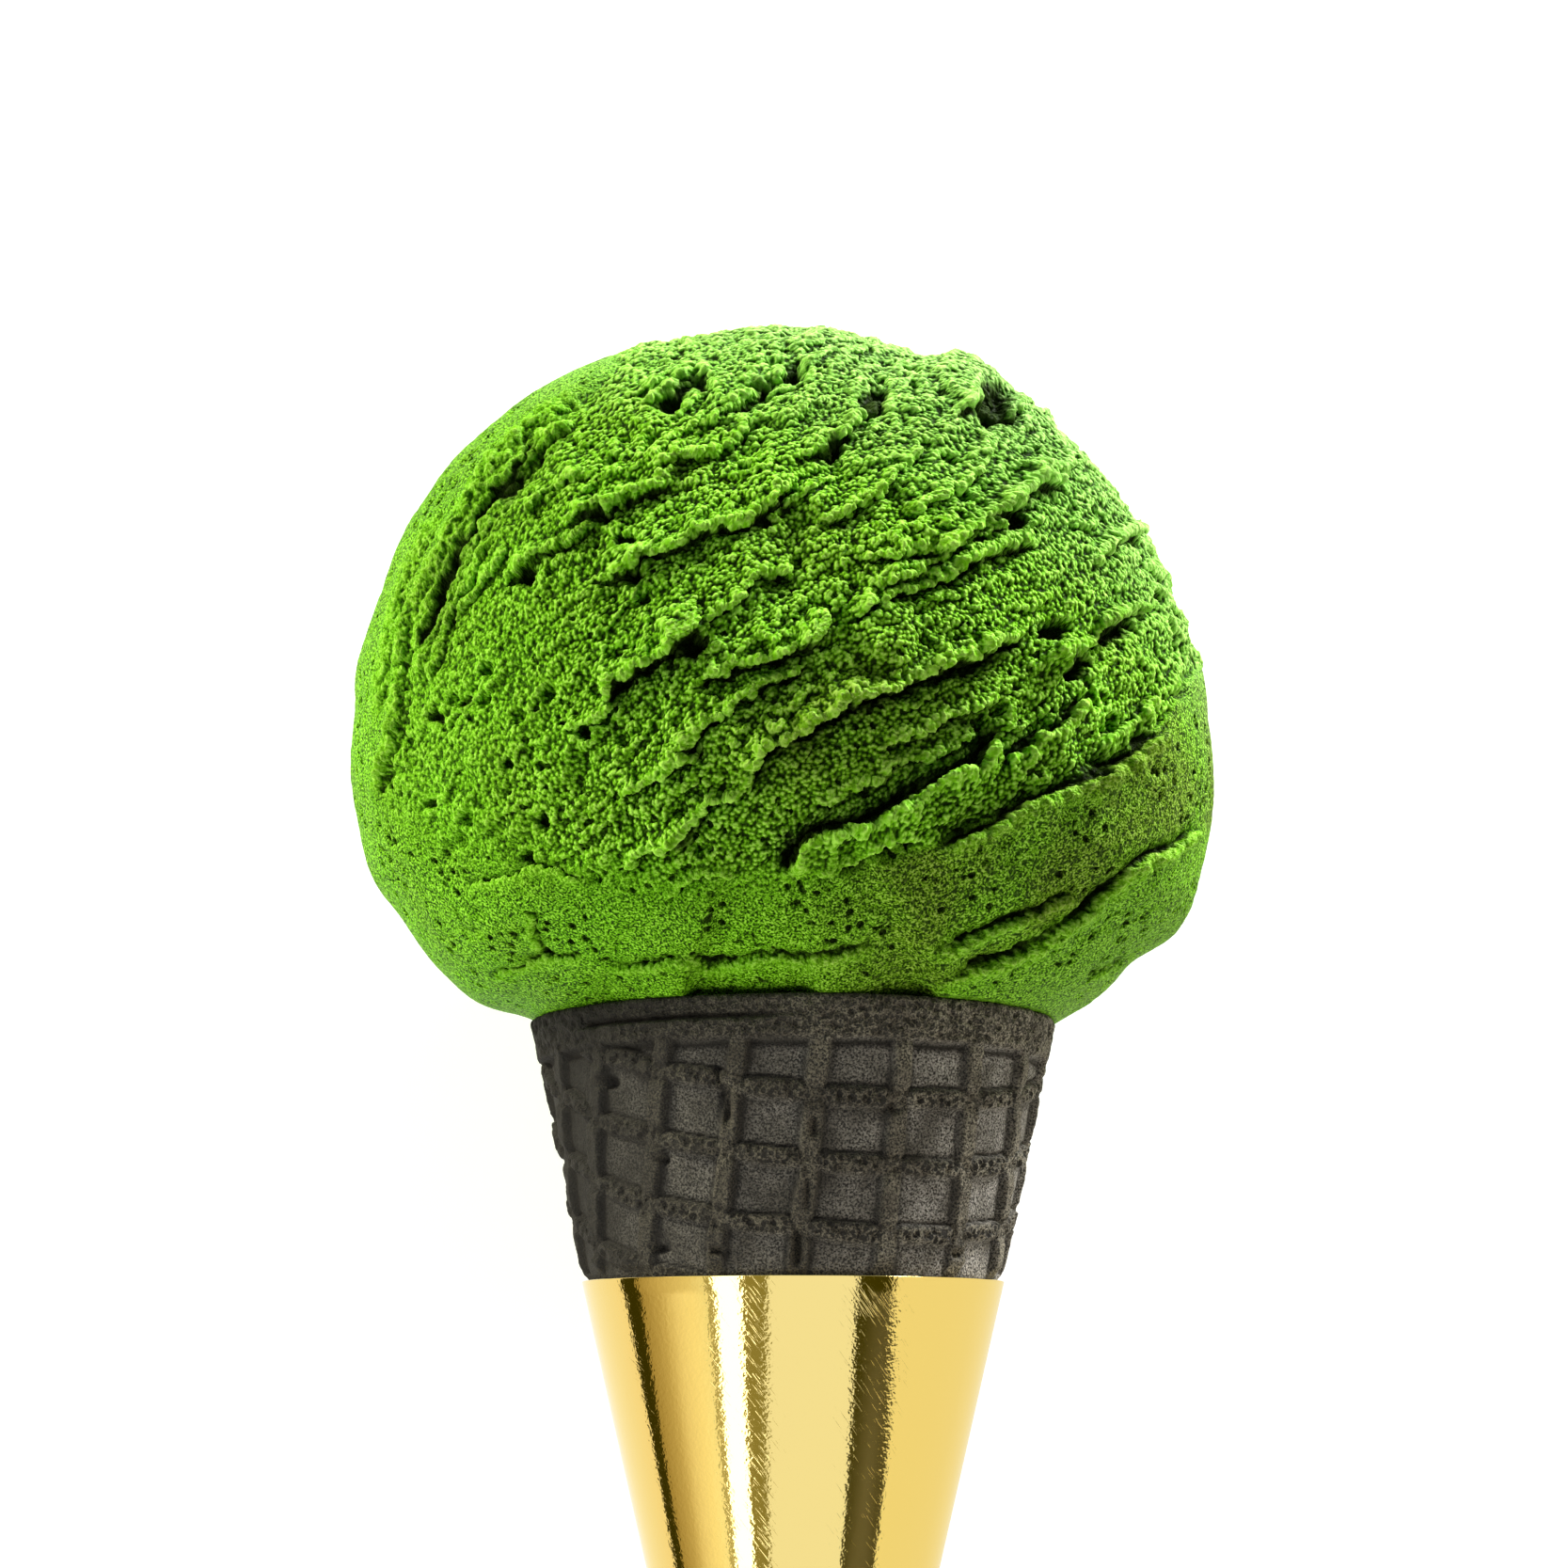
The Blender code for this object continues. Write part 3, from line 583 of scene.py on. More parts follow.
def drag_marks(points):
    """Small broken terraces along the drag of the scoop: a sawtooth across it, bent by noise."""
    across = points @ CROSS
    along = points @ DRAG
    bend = 1.3 * wander(points / 9.0, 31) + 0.5 * wander(points / 3.2, 32) + 0.2 * wander(points / 1.2, 33)
    phase = across / TERRACES + bend
    tooth = phase - np.floor(phase)
    saw = ease(0.0, 0.12, tooth) * (1.0 - tooth) ** 1.5
    stretched = np.column_stack((along / 7.0, across / 3.2, points[:, 1] / 8.0))
    return ease(-0.05, 0.25, wander(stretched, 35)) * (saw - 0.35)


def around_mean(points, quads, rounds):
    """Points drawn to the mean of the faces about them, as often as told."""
    count = np.bincount(quads.ravel(), minlength=len(points))[:, None]
    for _ in range(rounds):
        spread = np.repeat(points[quads].mean(axis=1), 4, axis=0)
        points = np.column_stack([np.bincount(quads.ravel(), spread[:, i]) for i in range(3)]) / count
    return points


directions, scoop_grids = ball_of_grids(GRID_CELLS, FACE_CROWDING)
scoop_quads = scoop_grids.reshape(-1, 4)
body, outward = scoop_body(directions)
torn, dull = torn_share(body)
medium = [wander(body / 1.7, seed) for seed in (41, 51)]
stir = np.column_stack(medium + medium[:1])
inner = ease(-33.0, -24.0, body[:, 0])
torn *= 0.7 + 0.3 * ease(-30.0, -8.0, body[:, 0])
ragged = np.column_stack([
    1.1 * wander(body / 4.2, 44) + 0.7 * medium[0] + 0.4 * wander(body / 0.8, 46),
    1.1 * wander(body / 4.2, 54) + 0.7 * medium[1] + 0.4 * wander(body / 0.8, 56),
]) * ((0.3 + 0.7 * inner) * (0.45 + 0.55 * torn))[:, None]
face = ease(0.0, -12.0, body[:, 1])
within_band = torn * ease(-4.0, -16.0, body[:, 0])
warped = as_seen(body) + ragged
lumps = 1.1 * wander(body / 1.7, 61) + 0.9 * wander(body / 0.9, 62)
breaks = 0.45 + 0.55 * ease(-0.22, 0.18, wander(body / 2.8, 63))
lip_height, lip_lean, hollow, bead, crumbly = torn_lips(warped[:, 0], warped[:, 1], lumps, breaks, torn)
torn = np.maximum(torn, 0.8 * face * crumbly)
knock = np.zeros(len(body))
for x, z, radius, depth in PITS:
    pit = depth / (1.0 + (np.hypot(warped[:, 0] - x, warped[:, 1] - z) / (0.9 * radius)) ** 6)
    knock -= pit
    # Painted shade inside each pit.
    hollow += pit
for x, z, radius, rise in KNOBS:
    knock += rise * ease(1.3, 0.5, np.hypot(warped[:, 0] - x, warped[:, 1] - z) / radius)
pores = ease(0.45, 0.15, to_seed(body / PORES, 81)) * ease(0.0, 0.3, wander(body / 6.0, 83))
uneven = body / PINHOLES + 0.3 * stir
pinholes = ease(0.34, 0.25, to_seed(uneven, 91)) * ease(0.0, 0.08, wander(body / 4.5, 92))
pinholes *= face * (1.0 - 0.5 * torn) * (1.0 - bead)
# Painted shade inside the pinholes.
hollow += 1.1 * pinholes
dragged = np.column_stack((body @ DRAG / 2.6, body @ CROSS / 1.2, body[:, 1] / 2.0))
clods = 0.6 - to_seed(dragged + 0.4 * stir, 19)
height = face * (lip_height + knock)
height += (0.3 + 0.2 * torn) * wander(body / 12.0, 1) + torn * (0.6 + 0.5 * (1.0 - face)) * drag_marks(body)
height += torn * (0.8 * wander(body / 3.6, 7) + 0.3 * medium[0] + 0.5 * clods * (1.0 - 0.6 * bead) - 0.4)
height += (1.0 - torn) * (0.12 * wander(body / 3.4, 21) + 0.08 * wander(body / 0.9, 22))
height += 0.45 * face * (1.0 - inner * torn) * within_band * wander(body / 2.2, 93)
height -= (0.9 * torn + 0.2) * pores * (1.0 - bead) + 0.5 * pinholes
seat_fade = ease(0.0, 2.2, body[:, 2] + SEAT_BELOW_CENTRE)
height *= 0.12 + 0.88 * seat_fade
scoop = body + outward * height[:, None]
lean = np.column_stack((lip_lean[:, 0], np.zeros(len(body)), lip_lean[:, 1]))
lean -= outward * np.einsum("ij,ij->i", lean, outward)[:, None]
scoop += (face * seat_fade)[:, None] * lean

# The points slide along the surface that the lips have made until they lie evenly on it. Crumbs
# along the lips and the grain then stand out from that surface, on every side of it. How far each
# point stands above the mean of those about it tells a grain's top from a gap, and paints light on
# the tops and shade in the gaps.
for _ in range(6):
    drawn = around_mean(scoop, scoop_quads, 1) - scoop
    arrows = point_arrows(scoop, scoop_quads)
    scoop += drawn - arrows * np.einsum("ij,ij->i", drawn, arrows)[:, None]
crumbs = (0.62 - to_seed(scoop / CRUMBS, 23)) * (0.08 * torn + 0.27 * crumbly * face * (0.4 + 0.6 * inner))
crumbs += (0.55 - to_seed(scoop / FINE_CRUMBS, 24)) * 0.28 * crumbly * face
scoop += point_arrows(scoop, scoop_quads) * (crumbs * seat_fade)[:, None]
to_grain = to_seed(scoop / GRAINS, 17)
grain = ease(0.74, 0.26, to_grain)
sponge = 0.5 - to_grain**2 + 0.55 * wander(scoop / 0.85, 18)
arrows = point_arrows(scoop, scoop_quads)
aslant = 1.0 - np.clip(arrows @ SIGHT, 0.0, 1.0)
grain_height = (0.22 * torn * (1.0 + 0.6 * aslant) + 0.05 * (1.0 - torn)) * ease(14.0, -4.0, body[:, 1])
grain_height *= 1.0 - 0.7 * ease(0.5, 1.5, hollow * face)
scoop += arrows * (grain_height * sponge * (0.3 + 0.7 * seat_fade))[:, None]
stands = np.einsum("ij,ij->i", scoop - around_mean(scoop, scoop_quads, 10), point_arrows(scoop, scoop_quads))

# Under the rim's plane the gelato is either laid on the rim or pressed into the mouth as a plug,
# and its back is flat where it lies on the table.
from_axis = np.hypot(scoop[:, 0] + SCOOP_CENTRE[0], scoop[:, 1])
plug = ease(PLUG_RADIUS + 0.1, PLUG_RADIUS - 1.4, from_axis)
under = scoop[:, 2] < -SEAT_BELOW_CENTRE + 1.5
plug_floor = -SEAT_BELOW_CENTRE - PLUG_BELOW_SEAT
scoop[:, 2] = np.where(under, scoop[:, 2] - 4.0 * plug, scoop[:, 2])
scoop[:, 2] = np.maximum(scoop[:, 2], np.where(from_axis < PLUG_RADIUS, plug_floor, -SEAT_BELOW_CENTRE))
scoop = on_table(scoop + SCOOP_CENTRE)
scoop = np.clip(scoop, *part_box("gelato"))
scoop_arrows = point_arrows(scoop, scoop_quads)


def matcha_gelato(tree):
    """Frozen matcha cream: bright green, an open grain of ice and air about half a millimetre
    wide where torn and finer where pressed, with a moist gloss. Light and shade are painted into
    its colour: shade in furrows, pits and pinholes, in the gaps of the grain, in fine pores, on the
    band under the right and in the face's middle; light on the grain's tops and the lips' crests;
    and a whitish sheen to the upper right."""
    place = add_node(tree, "TexCoord").outputs["Object"]
    in_mm = add_node(tree, "VectorMath", {0: place, "Scale": 1000.0}, operation="SCALE")
    torn_zone, painted_hollow_shade, crest, above, lump, dulled = (
        add_node(tree, "Attribute", attribute_name=title).outputs["Fac"]
        for title in ("torn", "hollow", "bead", "stands", "grain", "dull")
    )
    speck = add_node(tree, "TexNoise", {"Vector": in_mm, "Scale": 5.0, "Detail": 1.0, "Roughness": 0.6})
    rounded = add_node(tree, "MapRange", {"Value": lump, "To Min": 0.12, "To Max": 0.82})
    # Painted light and shade: lighter where a point stands out on a grain's top, darker in the gaps between
    # grains.
    top = add_node(tree, "MapRange", {
        "Value": above, "From Min": -0.07, "From Max": 0.07, "To Min": 0.20, "To Max": 0.80,
    })
    flecks = add_node(tree, "Mix", {0: 0.7, 2: speck, 3: rounded})
    open_grain = add_node(tree, "Mix", {0: 0.4, 2: flecks, 3: top})
    pressed_grain = add_node(tree, "MapRange", {
        "Value": speck, "From Min": 0.35, "From Max": 0.65, "To Min": 0.23, "To Max": 0.71,
    })
    grain = add_node(tree, "Mix", {0: torn_zone, 2: pressed_grain, 3: open_grain})
    # Painted highlight: along the lips' crests the grain's colour is lifted towards its light end.
    low = add_node(tree, "MapRange", {"Value": crest, "To Min": 0.25, "To Max": 0.14})
    high = add_node(tree, "MapRange", {"Value": crest, "To Min": 0.75, "To Max": 0.73})
    light = add_node(tree, "MapRange", {"Value": grain, "From Min": low, "From Max": high})
    shades = add_node(tree, "ValToRGB", {0: light})
    ramp = shades.color_ramp
    ramp.elements[0].color = linear("#1A3002")
    ramp.elements[1].color = linear("#ACEA58")
    ramp.elements.new(0.28).color = linear("#447A08")
    ramp.elements.new(0.60).color = linear("#76BF16")
    # Painted shade: dark green dots for fine pores in the pressed skin, most often on the band under the
    # right.
    spots = add_node(tree, "TexVoronoi", {"Vector": in_mm, "Scale": 1.7})
    spot = add_node(tree, "MapRange", {"Value": spots, "From Min": 0.43, "From Max": 0.28, "To Max": 0.95})
    whole = add_node(tree, "Math", {0: 1.0, 1: torn_zone}, operation="SUBTRACT")
    often = add_node(tree, "MapRange", {"Value": dulled, "From Min": 0.4, "To Min": 0.16, "To Max": 0.9})
    pressed = add_node(tree, "Math", {0: often, 1: whole}, operation="MULTIPLY")
    pore = add_node(tree, "Math", {0: spot, 1: pressed}, operation="MULTIPLY")
    surface = add_node(tree, "Mix", {0: pore, 6: shades, 7: linear("#1C3C04")}, data_type="RGBA")
    dense = add_node(tree, "Math", {0: whole, 1: dulled}, operation="SUBTRACT", use_clamp=True)
    deeper = add_node(tree, "Mix", {
        0: dense, 6: surface, 7: (0.93, 1.0, 0.66, 1.0),
    }, data_type="RGBA", blend_type="MULTIPLY")
    # Random patches, and painted shade on the band and in the face's middle, turn the colour a darker olive.
    patches = add_node(tree, "TexNoise", {"Vector": in_mm, "Scale": 0.12, "Detail": 2.0})
    duller = add_node(tree, "MapRange", {
        "Value": patches, "From Min": 0.42, "From Max": 0.66, "To Min": dulled, "To Max": 0.3,
    })
    varied = add_node(tree, "Mix", {
        0: duller, 6: deeper, 7: (0.84, 0.62, 0.94, 1.0),
    }, data_type="RGBA", blend_type="MULTIPLY")
    # Painted sheen: towards the upper right the colour pales to a whitish green, most on the lighter grain,
    # standing in for light from the upper right.
    rightward = add_node(tree, "VectorMath", {0: in_mm, 1: (0.6, 1.3, 0.0)}, operation="DOT_PRODUCT")
    painted_sheen = add_node(tree, "MapRange", {
        "Value": rightward, "From Min": 12.0, "From Max": 50.0, "To Max": 0.50,
    })
    painted_sheen_share = add_node(tree, "Math", {0: painted_sheen, 1: light}, operation="MULTIPLY")
    sheened = add_node(tree, "Mix", {0: painted_sheen_share, 6: varied, 7: linear("#D0FAB4")}, data_type="RGBA")
    # Painted shade: the colour goes near black inside furrows, pits and pinholes.
    depth = add_node(tree, "MapRange", {"Value": painted_hollow_shade, "From Min": 0.12, "From Max": 1.2, "To Max": 0.94})
    colour = add_node(tree, "Mix", {0: depth, 6: sheened, 7: linear("#121A03")}, data_type="RGBA")
    strength = add_node(tree, "MapRange", {"Value": torn_zone, "To Min": 0.35, "To Max": 0.6})
    bump = add_node(tree, "Bump", {"Height": grain, "Strength": strength, "Distance": 0.0010})
    return add_node(tree, "BsdfPrincipled", {
        "Base Color": colour, "Roughness": 0.5, "IOR": 1.35, "Specular IOR Level": 0.06,
        "Normal": bump,
    })


gelato_material = new_material("matcha gelato", matcha_gelato)
for side, grid in zip(("right", "back", "crown", "left", "face", "seat"), scoop_grids):
    used, corners = np.unique(grid, return_inverse=True)
    piece = new_surface(
        "gelato_" + side, scoop[used], corners.reshape(-1, 4),
        torn=torn[used], hollow=(hollow * face)[used], bead=(bead * face)[used], stands=stands[used],
        grain=grain[used], dull=dull[used],
    )
    piece.data.normals_split_custom_set_from_vertices(scoop_arrows[used])
    piece.data.materials.append(gelato_material)
    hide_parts("gelato")
    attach(piece, "root")


# The wafer: a flat round of charcoal waffle, baked in a ribbed iron, rolled hot to a cone and set
# hard. The outer turn ends in a lap on the left, and the inner turn stands a little above it.
WAFER = 2.6
SLEEVED = 0.65
TIP_HEIGHT = 13.4
HOLLOW_END = 24.0
GRID_AZIMUTH = math.radians(26.6)
RIB_SPACING_ACROSS = 7.7
RIB_SPACING_ALONG = 5.8
RIB_ALONG_OFFSET = 95.9
UNEVEN_BARS = (-29.8, -22.4, -15.4, -8.2, -0.5, 7.4, 15.2, 22.9)
CELL_DEPTH = 0.7
RIM_BAND = 3.8
RIM_BAND_PROUD = 0.05
RIM_ROUNDING = 0.45
LAP_STEP = 0.7
LAP_AT_RIM = math.radians(-53.0)
LAP_AT_SLEEVE = math.radians(-68.0)
INNER_TURN_END = math.radians(10.0)
INNER_TURN_RISE = 1.8
WAFER_COLUMNS = 680

# Splits and holes in the ribs: degrees round from the front, height, half-length up, half-width
# across and depth.
SPLITS = (
    (-15.6, 92.9, 1.5, 0.42, 1.3), (-17.5, 95.2, 0.8, 0.35, 0.9), (5.0, 91.0, 0.8, 0.4, 0.9),
    (1.2, 80.9, 1.6, 0.5, 1.5), (49.0, 80.9, 0.4, 0.6, 1.2), (-38.0, 81.2, 0.35, 0.8, 1.0),
    (-20.5, 80.8, 0.35, 0.8, 1.0), (-48.0, 95.3, 0.5, 0.9, 1.0), (-63.5, 89.8, 0.35, 0.35, 0.7),
    (-34.0, 88.6, 0.4, 0.5, 0.8), (3.5, 85.5, 1.4, 0.25, 0.6), (24.0, 92.7, 0.5, 0.5, 0.7),
)


def side_radius(height):
    """The outer radius of the cone and sleeve at a height: two straight tapers."""
    lower = np.minimum(height, SLEEVE_TOP) * math.tan(LOWER_HALF_ANGLE)
    return lower + np.maximum(height - SLEEVE_TOP, 0.0) * math.tan(UPPER_HALF_ANGLE)


def standing(azimuth, radius, height):
    """Points from the angle round the axis, 0 at the front, the radius and the height."""
    columns = (radius * np.sin(azimuth), -radius * np.cos(azimuth), height + 0.0 * azimuth)
    return np.stack(columns, -1)


def waffle_pattern(azimuth, height):
    """How far the wafer is pressed in, how open its crumb is, where it is raised, and where shade is painted
    in its grooves and beside its bars.

    The cone is unrolled to the flat round: the slant height and the unrolled angle give places
    across and along a square grid of bars. The lengthwise bars are even; those that go round are
    pads with round ends and a fine groove about them.
    """
    slant = height / math.cos(LOWER_HALF_ANGLE)
    unrolled = (azimuth - GRID_AZIMUTH) * math.sin(LOWER_HALF_ANGLE)
    skin = standing(azimuth, side_radius(height), height).reshape(-1, 3)
    bend = [wander(skin / 5.0, seed).reshape(azimuth.shape) for seed in (101, 102)]
    across = slant * np.sin(unrolled) + 0.45 * bend[0]
    even = RIB_SPACING_ACROSS * (np.arange(len(UNEVEN_BARS)) - 4)
    across += np.interp(across, UNEVEN_BARS, even - UNEVEN_BARS)
    along = slant * np.cos(unrolled) - RIB_ALONG_OFFSET + 0.45 * bend[1]
    off_across = np.abs(across - RIB_SPACING_ACROSS * np.round(across / RIB_SPACING_ACROSS))
    above = along - RIB_SPACING_ALONG * np.round(along / RIB_SPACING_ALONG)
    off_along = np.abs(above)
    from_middle = RIB_SPACING_ACROSS / 2.0 - off_across
    to_pad = np.hypot(np.maximum(from_middle - 2.3, 0.0), off_along) - 0.82
    bar = ease(1.1, 0.75, off_across)
    pad = ease(0.25, -0.35, to_pad)
    groove = hill((to_pad - 0.20) / 0.13) * ease(0.3, 1.2, off_across)
    groove *= 0.35 + 0.65 * ease(-0.3, 0.5, above + bend[1])
    crossing = bar * ease(1.4, 0.7, off_along)
    pressed = CELL_DEPTH * (1.0 - np.maximum(bar * (1.0 - 0.25 * crossing), pad)) + 0.3 * groove
    # Painted shade in the cells along each lengthwise bar.
    shade_beside_bar = 0.75 * hill((off_across - 1.15) / 0.3) * (1.0 - pad)
    return pressed, np.maximum(pad, 0.7 * crossing), np.maximum(bar, pad), np.maximum(groove, shade_beside_bar)


def wafer_outside(azimuth, height):
    """The wafer's outer radius, with its crumb, bars and creases: pressed cells, a band at the
    rim, splits and the lap of the outer turn; and where shade is painted: under the band, in the
    slit, the grooves and the lap's gap, and beside the bars."""
    pressed, open_crumb, raised, groove = waffle_pattern(azimuth, height)
    skin = standing(azimuth, side_radius(height), height).reshape(-1, 3)
    rough = 0.16 * wander(skin / 2.2, 111) + 0.14 * wander(skin / 0.9, 112) + 0.07 * wander(skin / 0.45, 113)
    rough = rough.reshape(azimuth.shape)
    warp = 0.25 * wander(skin / 3.0, 114).reshape(azimuth.shape)
    past_band = height + warp - RIM_HEIGHT + RIM_BAND
    in_band = ease(0.0, 0.25, past_band)
    under_band = hill((past_band + 0.25) / 0.28) * (1.0 - 0.8 * raised)
    lap = np.interp(height, (SLEEVE_TOP, RIM_HEIGHT), (LAP_AT_SLEEVE, LAP_AT_RIM)) + 0.03 * warp
    past_lap = np.mod(azimuth - lap, 2.0 * math.pi)
    outer_turn = 1.0 - ease(math.radians(330.0), math.radians(359.0), past_lap)
    edge = hill(past_lap / math.radians(2.2))
    gap = hill((2.0 * math.pi - past_lap) / math.radians(1.6))
    showing = 1.0 - ease(0.6, 1.0, past_lap / (INNER_TURN_END - LAP_AT_RIM))
    past_turn = height + 0.5 * warp - RIM_HEIGHT + INNER_TURN_RISE
    above = ease(-0.1, 0.1, past_turn)
    slit = hill(past_turn / 0.22) * showing
    radius = side_radius(height) - pressed * (1.0 - in_band) + RIM_BAND_PROUD * in_band
    radius += rough * (0.5 + 0.5 * np.maximum(raised, in_band)) + 0.15 * edge - 0.5 * gap
    radius -= 0.30 * under_band + LAP_STEP * (1.0 - outer_turn) + (LAP_STEP * above + 1.1 * slit) * showing
    for degrees, middle, half_length, half_width, depth in SPLITS:
        off = (azimuth - math.radians(degrees)) * side_radius(middle) + 0.5 * warp
        radius -= depth * hill(off / half_width) * hill(((height - middle) / half_length) ** 2)
    holes = ease(0.5, 0.3, to_seed(skin / 0.85, 121)).reshape(azimuth.shape)
    crumb = np.maximum(open_crumb * (1.0 - in_band), 0.75 * in_band)
    radius -= 0.32 * holes * crumb
    # Painted shade: the line under the rim band, the slit above the lap, the grooves, the cells along the
    # bars and the lap's gap.
    creased = np.maximum(np.maximum(under_band, slit), np.maximum(groove * (1.0 - in_band), gap))
    return radius, crumb, np.maximum(raised * (1.0 - in_band), in_band), creased


def closed_skin(rings, first_pole, last_pole):
    """Points and faces of rings of equal size, joined in turn and shut by a fan at either end."""
    rows, columns = rings.shape[:2]
    points = np.vstack((rings.reshape(-1, 3), first_pole, last_pole))
    number = np.arange(rows * columns).reshape(rows, columns)
    after = np.roll(number, -1, axis=1)
    quads = np.stack((number[:-1], after[:-1], after[1:], number[1:]), -1).reshape(-1, 4)
    low = np.stack((after[0], number[0], np.full(columns, rows * columns)), -1)
    high = np.stack((number[-1], after[-1], np.full(columns, rows * columns + 1)), -1)
    return points, quads.tolist() + low.tolist() + high.tolist()


wafer_azimuth = np.arange(WAFER_COLUMNS) * 2.0 * math.pi / WAFER_COLUMNS - math.pi
visible_heights = np.linspace(SLEEVE_TOP - 0.4, RIM_HEIGHT - RIM_ROUNDING, WAFER_COLUMNS // 6)
wide, tall = np.meshgrid(wafer_azimuth, visible_heights)
outer_radius, *marks = wafer_outside(wide, tall)
tucked = ease(SLEEVE_TOP + 1.1, SLEEVE_TOP + 0.1, tall)
reach = np.where(tall < SLEEVE_TOP + 1.2, side_radius(tall) - SLEEVED * tucked, outer_radius)
outer_radius = np.minimum(outer_radius, reach)
hidden_heights = np.array((14.0, 16.0, 45.0, 70.0, SLEEVE_TOP - 1.0))
hidden_radius = side_radius(hidden_heights) - SLEEVED - np.where(hidden_heights < 15.0, 1.2, 0.0)
wafer_rings = [standing(wafer_azimuth, r, h) for r, h in zip(hidden_radius, hidden_heights)]
wafer_rings += list(standing(wide, outer_radius, tall))
for turn in np.radians((30.0, 60.0, 90.0)):
    inset = RIM_ROUNDING * (1.0 - math.cos(turn))
    height = RIM_HEIGHT - RIM_ROUNDING * (1.0 - math.sin(turn))
    wafer_rings.append(standing(wafer_azimuth, outer_radius[-1] - inset, height))
for height in (RIM_HEIGHT, RIM_HEIGHT - 10.0, 55.0, 26.0):
    wafer_rings.append(standing(wafer_azimuth, side_radius(height) - WAFER, height))
rows_before = len(hidden_heights)
rows_after = len(wafer_rings) - rows_before - len(visible_heights)
spare = ((rows_before, rows_after), (0, 0))
crumb, raised, creased = (np.append(np.pad(mark, spare, mode="edge"), (0.0, 0.0)) for mark in marks)
wafer_points, wafer_faces = closed_skin(np.array(wafer_rings), (0, 0, TIP_HEIGHT), (0, 0, HOLLOW_END))


def charcoal_wafer(tree):
    """Baked wafer dyed with bamboo charcoal: warm black on the bars, where the crumb is open and
    full of pin holes, and a dusty grey in the pressed cells, all of it matt. Shade is painted in:
    near black in its creases and pin holes, and darker towards the left."""
    place = add_node(tree, "TexCoord").outputs["Object"]
    in_mm = add_node(tree, "VectorMath", {0: place, "Scale": 1000.0}, operation="SCALE")
    open_crumb, on_bar, crease = (
        add_node(tree, "Attribute", attribute_name=title).outputs["Fac"]
        for title in ("crumb", "raised", "creased")
    )
    speckle = add_node(tree, "TexNoise", {"Vector": in_mm, "Scale": 5.5, "Detail": 2.0, "Roughness": 0.7})
    cloudy = add_node(tree, "TexNoise", {"Vector": in_mm, "Scale": 0.3, "Detail": 3.0})
    flour = add_node(tree, "MapRange", {"Value": cloudy, "From Min": 0.35, "From Max": 0.65})
    cell = add_node(tree, "Mix", {0: flour, 6: linear("#625E56"), 7: linear("#96928A")}, data_type="RGBA")
    bar = add_node(tree, "Mix", {0: flour, 6: linear("#5C564A"), 7: linear("#7E7868")}, data_type="RGBA")
    base = add_node(tree, "Mix", {0: on_bar, 6: cell, 7: bar}, data_type="RGBA")
    grain = add_node(tree, "MapRange", {
        "Value": speckle, "From Min": 0.38, "From Max": 0.62, "To Min": -0.2, "To Max": 2.0,
    })
    rightward = add_node(tree, "SeparateXYZ", {0: in_mm}).outputs["X"]
    # Painted shade: the wafer is made steadily darker towards the left.
    painted_shade_leftward = add_node(tree, "MapRange", {
        "Value": rightward, "From Min": -17.0, "From Max": 15.0, "To Min": 0.03, "To Max": 0.98,
    })
    level = add_node(tree, "Math", {0: grain, 1: painted_shade_leftward}, operation="MULTIPLY")
    speckled = add_node(tree, "VectorMath", {0: base, "Scale": level}, operation="SCALE")
    cells = add_node(tree, "TexVoronoi", {"Vector": in_mm, "Scale": 1.9})
    hole = add_node(tree, "MapRange", {"Value": cells, "From Min": 0.48, "From Max": 0.36})
    pin_hole = add_node(tree, "Math", {0: hole, 1: open_crumb}, operation="MULTIPLY")
    # Painted shade: the creases and the pin holes go near black.
    dark = add_node(tree, "Math", {0: pin_hole, 1: crease}, operation="MAXIMUM")
    colour = add_node(tree, "Mix", {0: dark, 6: speckled, 7: linear("#120F0A")}, data_type="RGBA")
    relief = add_node(tree, "Math", {0: speckle, 1: pin_hole}, operation="SUBTRACT")
    bump = add_node(tree, "Bump", {"Height": relief, "Strength": 0.8, "Distance": 0.0003})
    return add_node(tree, "BsdfPrincipled", {
        "Base Color": colour, "Roughness": 0.72, "Specular IOR Level": 0.35, "Normal": bump,
    })


wafer = new_surface(
    "charcoal_wafer", on_table(wafer_points), wafer_faces, crumb=crumb, raised=raised, creased=creased,
)
wafer.data.materials.append(new_material("charcoal wafer", charcoal_wafer))
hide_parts("waffle_cone")
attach(wafer, "root")


# The sleeve: a fan of gold foil laminated to thin card, rolled round the cone and glued in a lap
# down the back, with a level-cut top edge and a small blunt tip.
CARD = 0.35
SLEEVE_COLUMNS = 360
SLEEVE_LAP = math.radians(171.0)
sleeve_azimuth = np.arange(SLEEVE_COLUMNS) * 2.0 * math.pi / SLEEVE_COLUMNS - math.pi
top_edge = SLEEVE_TOP - 0.5 * np.cos(sleeve_azimuth)


def sleeve_outside(azimuth, height):
    """The sleeve's radius: the straight taper, waves of a few hundredths, and the glued lap."""
    skin = standing(azimuth, side_radius(height), height)
    waves = 0.02 * wander(skin / np.array((9.0, 9.0, 22.0)), 131)
    lap = 0.12 * (ease(SLEEVE_LAP, SLEEVE_LAP + 0.01, azimuth) - ease(-3.0, -3.14, azimuth))
    return side_radius(height) + waves * ease(8.0, 20.0, height) - np.abs(lap) * ease(8.0, 14.0, height)


